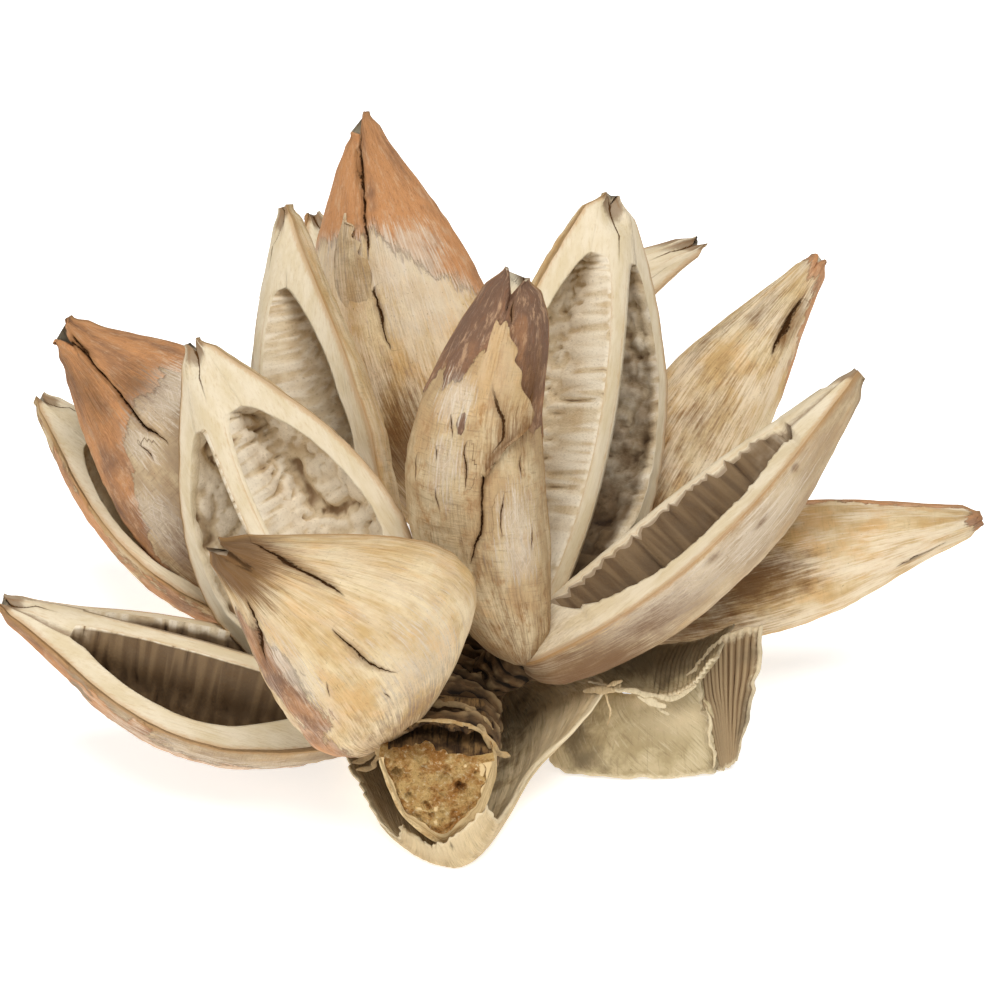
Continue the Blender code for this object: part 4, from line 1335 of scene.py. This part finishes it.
shreds = {
    "stalk": (
        (((-2.6, 10.5, 28), (-0.8, 9, 25.4), (1, 8, 23.4), (3.6, 8, 22.2)), 1.5, 0.45, 0.55),
        (((-21, 12, 24), (-22.5, 12, 20.5), (-24.5, 12.5, 18), (-27, 13, 16.5)), 1.3, 0.35, 0.35),
        (((-20.5, 11, 21.5), (-22.5, 11.5, 18), (-23.5, 12.5, 15.5), (-26.4, 13.5, 14.6)), 1.0, 0.35, 0.45),
        (((-20.8, 10, 27), (-21.6, 9.5, 24), (-21.8, 9, 21.5)), 1.5, 0.4, 0.6),
        (((-17, 9.6, 29.6), (-10, 8.6, 30.2), (-4, 9, 28.6), (-0.8, 10, 25.4)), 0.8, 0.4, 0.6),
        (((-19.5, 15, 27), (-14, 13, 30.6), (-8, 13.5, 30.4), (-3, 15, 28)), 1.3, 0.5, 0.4),
        (((-5, 14, 29), (-1.5, 13, 27), (0.5, 14, 23)), 1.0, 0.4, 0.5),
    ),
    "spathe": (
        (((21.4, 27.2, 24.2), (22.6, 26.8, 21.4), (23.3, 26.6, 18.3), (22.8, 26.6, 15.4)), 0.45, 0.35, 0.8),
        (((18, 27.5, 23), (20.8, 26.2, 24.3), (23.4, 27, 23.6), (25.4, 28.5, 23.8)), 1.6, 0.5, 0.7),
        (((22, 27.2, 24), (23.6, 26.8, 25.2), (25.6, 27.5, 25.6)), 0.9, 0.4, 0.6),
        (((21.5, 27.2, 23.4), (20.2, 26.8, 21), (19.6, 26.8, 19.4)), 0.8, 0.4, 0.5),
    ),
    "bract_curl": (
        (
            ((23, 27.5, 23.2), (27, 26.6, 23.6), (31, 26.3, 22.8), (36, 26.6, 22.0), (40, 28.4, 23.8)), 1.1,
            0.6, 0.9,
        ),
        (((28.5, 26.4, 22.6), (31.5, 25.6, 21.4), (34, 25.5, 20.6)), 1.3, 0.4, 0.95),
        (((32, 26, 21.9), (33.2, 25.6, 19.8), (34.8, 25.7, 18.6)), 0.8, 0.4, 0.9),
    ),
    "bract_right": (
        (
            ((42.6, 31, 16.4), (43.6, 30.2, 12.6), (43.2, 29.6, 9.4), (44.6, 29.4, 5.6), (44.4, 29.4, 2.2)),
            0.6, 0.35, 0.9,
        ),
        (((42, 31.4, 18), (43, 30.6, 16.6), (44, 30.6, 14)), 0.7, 0.35, 0.8),
    ),
}
shredSteps = (40, 14)


def buildShreds(key, materials):
    made = []
    for count, (path, width, thickness, pale) in enumerate(shreds[key]):
        share = np.linspace(0, 1, shredSteps[0])
        line = openCurve(np.array(path, float), share)
        sway = (waves(line, 1.6, 71 + count), 0 * share, waves(line, 1.6, 72 + count))
        line += np.stack(sway, axis=-1) * 0.25
        along = unit(np.gradient(line, axis=0))
        across = unit(np.cross(along, (0.0, -0.84, 0.54)))
        up = np.cross(across, along)
        size = (0.25 + 0.75 * np.sin(np.pi * share) ** 0.5) * (1 + 0.5 * waves(line, 1.1, 73 + count))
        turn = np.linspace(0, 2 * np.pi, shredSteps[1], endpoint=False)
        flat = across[:, None] * np.cos(turn)[None, :, None] * (size * width / 2)[:, None, None]
        points = line[:, None] + flat + up[:, None] * np.sin(turn)[None, :, None] * thickness / 2
        still = np.zeros_like(points)
        wearAndShade = (0.6, pale, 0.4) if key == "stalk" else (farOff * (1 - pale), -1, 0.5)
        fields = {"grain": points, "wearAndShade": still + wearAndShade, "age": still}
        zones = np.zeros((shredSteps[0] - 1, shredSteps[1]))
        made.append(gridMesh(f"{key}_shred_{count}", points, fields, materials, zones))
    return made


print("star pod: stalk")
buildStalk()

# Bracts: rows of points on the middle of each sheet, joined by smooth curves both ways

sheetForms = {
    "spathe": {
        "rows": (
            (
                (-17.5, 6.8, 6.5), (-14.6, 4.8, 5), (-12.2, 3.4, 4.2), (-10, 2.9, 4.8), (-7.4, 2.9, 6.6),
                (-4.4, 3.2, 9.4), (-1.2, 4.6, 13),
            ),
            (
                (-18, 6.4, 3), (-14.4, 3.9, 1.5), (-11, 2, 0.9), (-7.8, 1.4, 0.8), (-4.8, 1.7, 1.8),
                (-1.8, 3.2, 4.4), (1, 5.6, 8.6),
            ),
            (
                (-22, 10, 4.5), (-17.5, 9, 1.8), (-12, 8, 0.6), (-6, 8, 0.6), (-1, 9, 1.6), (2, 11, 4),
                (3.5, 12.5, 6.5),
            ),
            (
                (-26, 19, 6.5), (-20, 18, 2.8), (-13, 17, 0.6), (-6, 17, 0.6), (2, 17, 3), (6, 17, 8),
                (8.5, 17.5, 12.5),
            ),
            (
                (-29, 27, 7), (-22, 26, 3), (-13, 25, 0.6), (-5, 25, 0.6), (4, 24, 5), (10, 23, 11.5),
                (16.4, 21.8, 18.6),
            ),
            (
                (-30, 35, 7), (-22, 34, 3), (-13, 33, 0.6), (-5, 33, 0.6), (5, 32, 7), (12, 30, 16.5),
                (22, 27.5, 24.4),
            ),
            (
                (-35, 47, 2.5), (-25, 45, 0.9), (-13, 43, 0.6), (-4.5, 43, 0.6), (4, 42, 6), (10, 40, 14),
                (16, 36, 21.5),
            ),
            (
                (-38, 61, 0.6), (-26, 60.5, 0.6), (-13, 60, 0.6), (-4, 60, 0.6), (2, 60, 2.4), (5, 59, 4),
                (7, 59, 6),
            ),
            (
                (-30, 79, 0.6), (-21, 79, 0.6), (-11, 78, 0.6), (-4, 78, 0.6), (0, 78, 2.6), (3, 78, 5),
                (5, 78, 7),
            ),
            (
                (-17, 94, 3), (-14, 93.5, 1.6), (-9.5, 93, 0.8), (-5.5, 92.5, 0.8), (-3.5, 93, 1.5),
                (-2, 93.5, 2.5), (-1, 94, 3.6),
            ),
        ),
        "thickness": 1.2, "across": 120, "along": 180, "ribs": 17, "ribHeight": 0.05, "ragged": 0.8,
        # each patch is (share across, share along, half width, half length, strength)
        "stainAndShade": ((0.6, 0.5, 9, 20, 0.55), (0.62, 0.03, 1.4, 2.5, 1.2)),
        # the first pale patch is painted light: it brightens the front lip, which lies in the stalk's shade
        "pale": ((0.5, 0.02, 40, 8, 0.9), (0.85, 0.3, 6, 30, 0.9), (0.1, 0.2, 8, 14, 0.9)),
        "flap": None,
    },
    "bract_right": {
        "rows": (
            (
                (12, 31.5, 2.2), (16.5, 30, 0.45), (26, 29, 0.45), (38, 29.5, 0.45), (45.5, 30.5, 0.45),
                (47.5, 31.2, 1), (49.5, 31.5, 3),
            ),
            (
                (12, 33, 6), (17, 31.5, 6), (26, 30, 6), (37, 30.5, 6), (44, 31.5, 6), (47, 33, 6.5),
                (50.5, 32, 9),
            ),
            (
                (14, 34, 10), (19, 33, 10.5), (27, 31.5, 11), (36, 31.5, 11.5), (42.5, 32.7, 12),
                (46.5, 35, 13), (51.5, 33, 16),
            ),
            (
                (18, 35, 14), (22, 34, 14.5), (28, 32.5, 15), (35, 32.3, 15.5), (41, 33.5, 16),
                (46, 36.5, 18), (53, 35, 23),
            ),
            (
                (22, 36, 16.5), (25, 35, 17), (29, 33.5, 17.5), (34, 33.6, 18.4), (40, 36, 22),
                (45.5, 39.5, 27), (54, 39, 31),
            ),
        ),
        "thickness": 0.9, "across": 180, "along": 90, "ribs": 40, "ribHeight": 0.22, "ragged": 0.6,
        "stainAndShade": (
            (0.12, 0.35, 5, 8, 1.0), (0.2, 0.15, 6, 4, 0.8), (0.66, 0.06, 3, 3, 0.8),
            (0.97, 0.3, 2, 12, 0.9), (0.93, 0.85, 4, 3, 0.9),
        ),
        "pale": ((0.55, 0.6, 9, 6, 0.8), (0.4, 0.9, 9, 4, 0.8)),
        "flap": (0.66, 0.69),  # share across where the ribbed flap starts, at the foot and at the top
    },
    "bract_curl": {
        "rows": (
            ((19, 28.6, 24.4), (28, 27.2, 22.9), (34.5, 27.2, 22.1), (39.5, 29, 24), (43.5, 32, 27.4)),
            ((19.5, 31, 23.2), (29, 31, 20.6), (35, 31.5, 20.4), (40.5, 33, 21.8), (45, 35.5, 25.4)),
            ((20.5, 36, 22.8), (30, 37.5, 20.8), (36, 38.5, 21), (41.5, 39.5, 22.7), (46.5, 40, 26.7)),
            ((23, 43, 22.5), (32, 45, 21), (38.5, 45.5, 21.5), (44, 45, 23.5), (48.5, 44, 27.5)),
        ),
        "thickness": 0.9, "across": 110, "along": 70, "ribs": 24, "ribHeight": 0.2, "ragged": 0.7,
        # both patches are painted shade: darker bands over the upper curl, where it passes under a valve
        "stainAndShade": ((0.5, 0.75, 30, 9, 1.6), (0.5, 0.5, 30, 6, 0.8)),
        "pale": ((0.6, 0.0, 14, 3, 1.2),),
        "flap": None,
    },
}


def sheetPoints(rows, u, v):
    # The sheet's middle surface on a grid of shares across and along.
    lines = openCurve(np.swapaxes(np.asarray(rows, float), 0, 1), u)  # across first
    return openCurve(np.swapaxes(lines, 0, 1), v)


def buildSheet(name, form, material, seed):
    u, v = np.linspace(0, 1, form["across"]), np.linspace(0, 1, form["along"])
    points = sheetPoints(form["rows"], u, v)
    uGrid, vGrid = np.meshgrid(u, v)
    spanU = np.linalg.norm(np.diff(points, axis=1), axis=-1).sum(axis=1).mean()
    spanV = np.linalg.norm(np.diff(points, axis=0), axis=-1).sum(axis=0).mean()
    grain = np.stack([uGrid * spanU, vGrid * spanV, 0 * uGrid + seed * 9], axis=-1)
    torn = np.minimum(np.minimum(uGrid, 1 - uGrid) * spanU, np.minimum(vGrid, 1 - vGrid) * spanV)
    normals = surfaceNormals(points, closedRound=False)
    slideU = unit(np.gradient(points, axis=1)) * (form["ragged"] * waves(grain, (4, 1.7, 4), 51 + seed))[
        ..., None,
    ]
    slideV = unit(np.gradient(points, axis=0)) * (form["ragged"] * waves(grain, (1.5, 5, 4), 52 + seed))[
        ..., None,
    ]
    points = points + slideU * smoothStep(3, 0, np.minimum(uGrid, 1 - uGrid) * spanU)[..., None]
    points = points + slideV * smoothStep(3, 0, np.minimum(vGrid, 1 - vGrid) * spanV)[..., None]
    ribbed = np.clip(0.55 + 0.9 * waves(grain, (6, 25, 5), 55 + seed), 0, 1)
    step = 0 * uGrid
    if form["flap"]:
        onFlap = (uGrid - mix(*form["flap"], vGrid)) * spanU + waves(grain, (3, 1.6, 4), 56) + 0.4 * waves(
            grain, (1, 0.6, 4), 57,
        )
        ribbed = smoothStep(0.0, 1.0, onFlap)
        step = smoothStep(0.25, -0.25, onFlap)
        torn = np.where(onFlap < 0.2, np.minimum(torn, 0.8 + np.abs(onFlap)), torn)
    rib = np.sin(2 * np.pi * (uGrid * form["ribs"] + 0.45 * waves(grain, (5, 16, 5), 53 + seed))) * ribbed
    ripple = 0.3 * waves(grain, (6, 12, 5), 54 + seed)
    points = points + normals * (form["ribHeight"] * rib + ripple + 0.9 * step)[..., None]
    points[..., 2] = np.maximum(points[..., 2], form["thickness"] / 2 + 0.02)
    marks = {}
    for label in ("stainAndShade", "pale"):
        marks[label] = np.full(uGrid.shape, -1.0)
        for atU, atV, wide, long, strength in form[label]:
            away = np.hypot((uGrid - atU) * spanU / wide, (vGrid - atV) * spanV / long)
            marks[label] = np.maximum(marks[label], strength * (1 - away))
    fields = {
        "grain": grain,
        "wearAndShade": np.stack([np.clip(torn, 0, farOff), marks["stainAndShade"], rib], axis=-1),
        "age": np.stack([marks["pale"], ribbed * (form["flap"] is not None), 0 * rib], axis=-1),
    }
    piece = gridMesh(f"{name}_leaf", points, fields, (material,), None, closedRound=False, capped=False)
    thin = piece.vertex_groups.new(name="body")
    spots = np.empty(len(piece.data.vertices) * 3, np.float32)
    piece.data.attributes["wearAndShade"].data.foreach_get("vector", spots)
    for index, edge in enumerate(spots[::3]):
        thin.add([index], float(min(1.0, 0.35 + edge / 3.0)), "REPLACE")
    solid = piece.modifiers.new("Thickness", "SOLIDIFY")
    solid.thickness = form["thickness"] * mm
    solid.offset = 0
    solid.vertex_group = "body"
    bpy.context.view_layer.update()
    applyModifiers(piece)
    joinObjects(piece, buildShreds(name, (material,)))
    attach(piece, "root")
    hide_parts(name)


print("star pod: bracts")
sheetMaterials = (spatheLeather, bractPaper, bractPaper)
for seed, (name, material) in enumerate(zip(sheetForms, sheetMaterials), 1):
    buildSheet(name, sheetForms[name], material, seed)

# Stage: a pale floor, soft light and the photograph's viewing angle

stageLook = {
    "floor": "f4f3f1",
    "target": (0.008, 0.0025, 0.050),
    "cameraDistance": 0.54667,
    "elevation": 33.0,
    "lens": 100.0,
    "world": 0.31,
    "floorGlow": 0.58,  # keeps the floor pale inside the soft shadow
    "key": ((0.1, -0.35, 1.3), 0.9, 15.5),  # place, width and power
    "fill": ((-0.9, -0.9, 0.6), 1.0, 4.5),
}


def buildStage():
    bm = bmesh.new()
    bmesh.ops.create_grid(bm, x_segments=1, y_segments=1, size=3)
    mesh = bpy.data.meshes.new("floor")
    bm.to_mesh(mesh)
    bm.free()
    floor = bpy.data.objects.new("floor", mesh)
    bpy.context.scene.collection.objects.link(floor)
    material, tree, shader = newMaterial("matPaintedFloor", 0.9)
    shader.inputs["Base Color"].default_value = hexColour(stageLook["floor"])
    shader.inputs["Emission Color"].default_value = hexColour("ffffff")
    shader.inputs["Emission Strength"].default_value = stageLook["floorGlow"]
    floor.data.materials.append(material)

    world = bpy.data.worlds.new("softRoom")
    bpy.context.scene.world = world
    world.use_nodes = True
    background = world.node_tree.nodes["Background"]
    background.inputs["Color"].default_value = hexColour("ffffff")
    background.inputs["Strength"].default_value = stageLook["world"]

    target = Vector(stageLook["target"])
    for name in ("key", "fill"):
        place, width, power = stageLook[name]
        lamp = bpy.data.lights.new(name, "AREA")
        lamp.shape = "DISK"
        lamp.size = width
        lamp.energy = power
        holder = bpy.data.objects.new(name, lamp)
        holder.location = place
        holder.rotation_euler = (target - Vector(place)).to_track_quat("-Z", "Y").to_euler()
        bpy.context.scene.collection.objects.link(holder)

    lens = bpy.data.cameras.new("photoCamera")
    lens.lens = stageLook["lens"]
    lens.sensor_width = 36.0
    camera = bpy.data.objects.new("photoCamera", lens)
    tilt = math.radians(stageLook["elevation"])
    camera.location = target + stageLook["cameraDistance"] * Vector((0, -math.cos(tilt), math.sin(tilt)))
    camera.rotation_euler = (target - camera.location).to_track_quat("-Z", "Y").to_euler()
    bpy.context.scene.collection.objects.link(camera)
    bpy.context.scene.camera = camera
    bpy.context.scene.view_settings.view_transform = "Standard"


print("star pod: stage")
buildStage()

print("star pod: done")
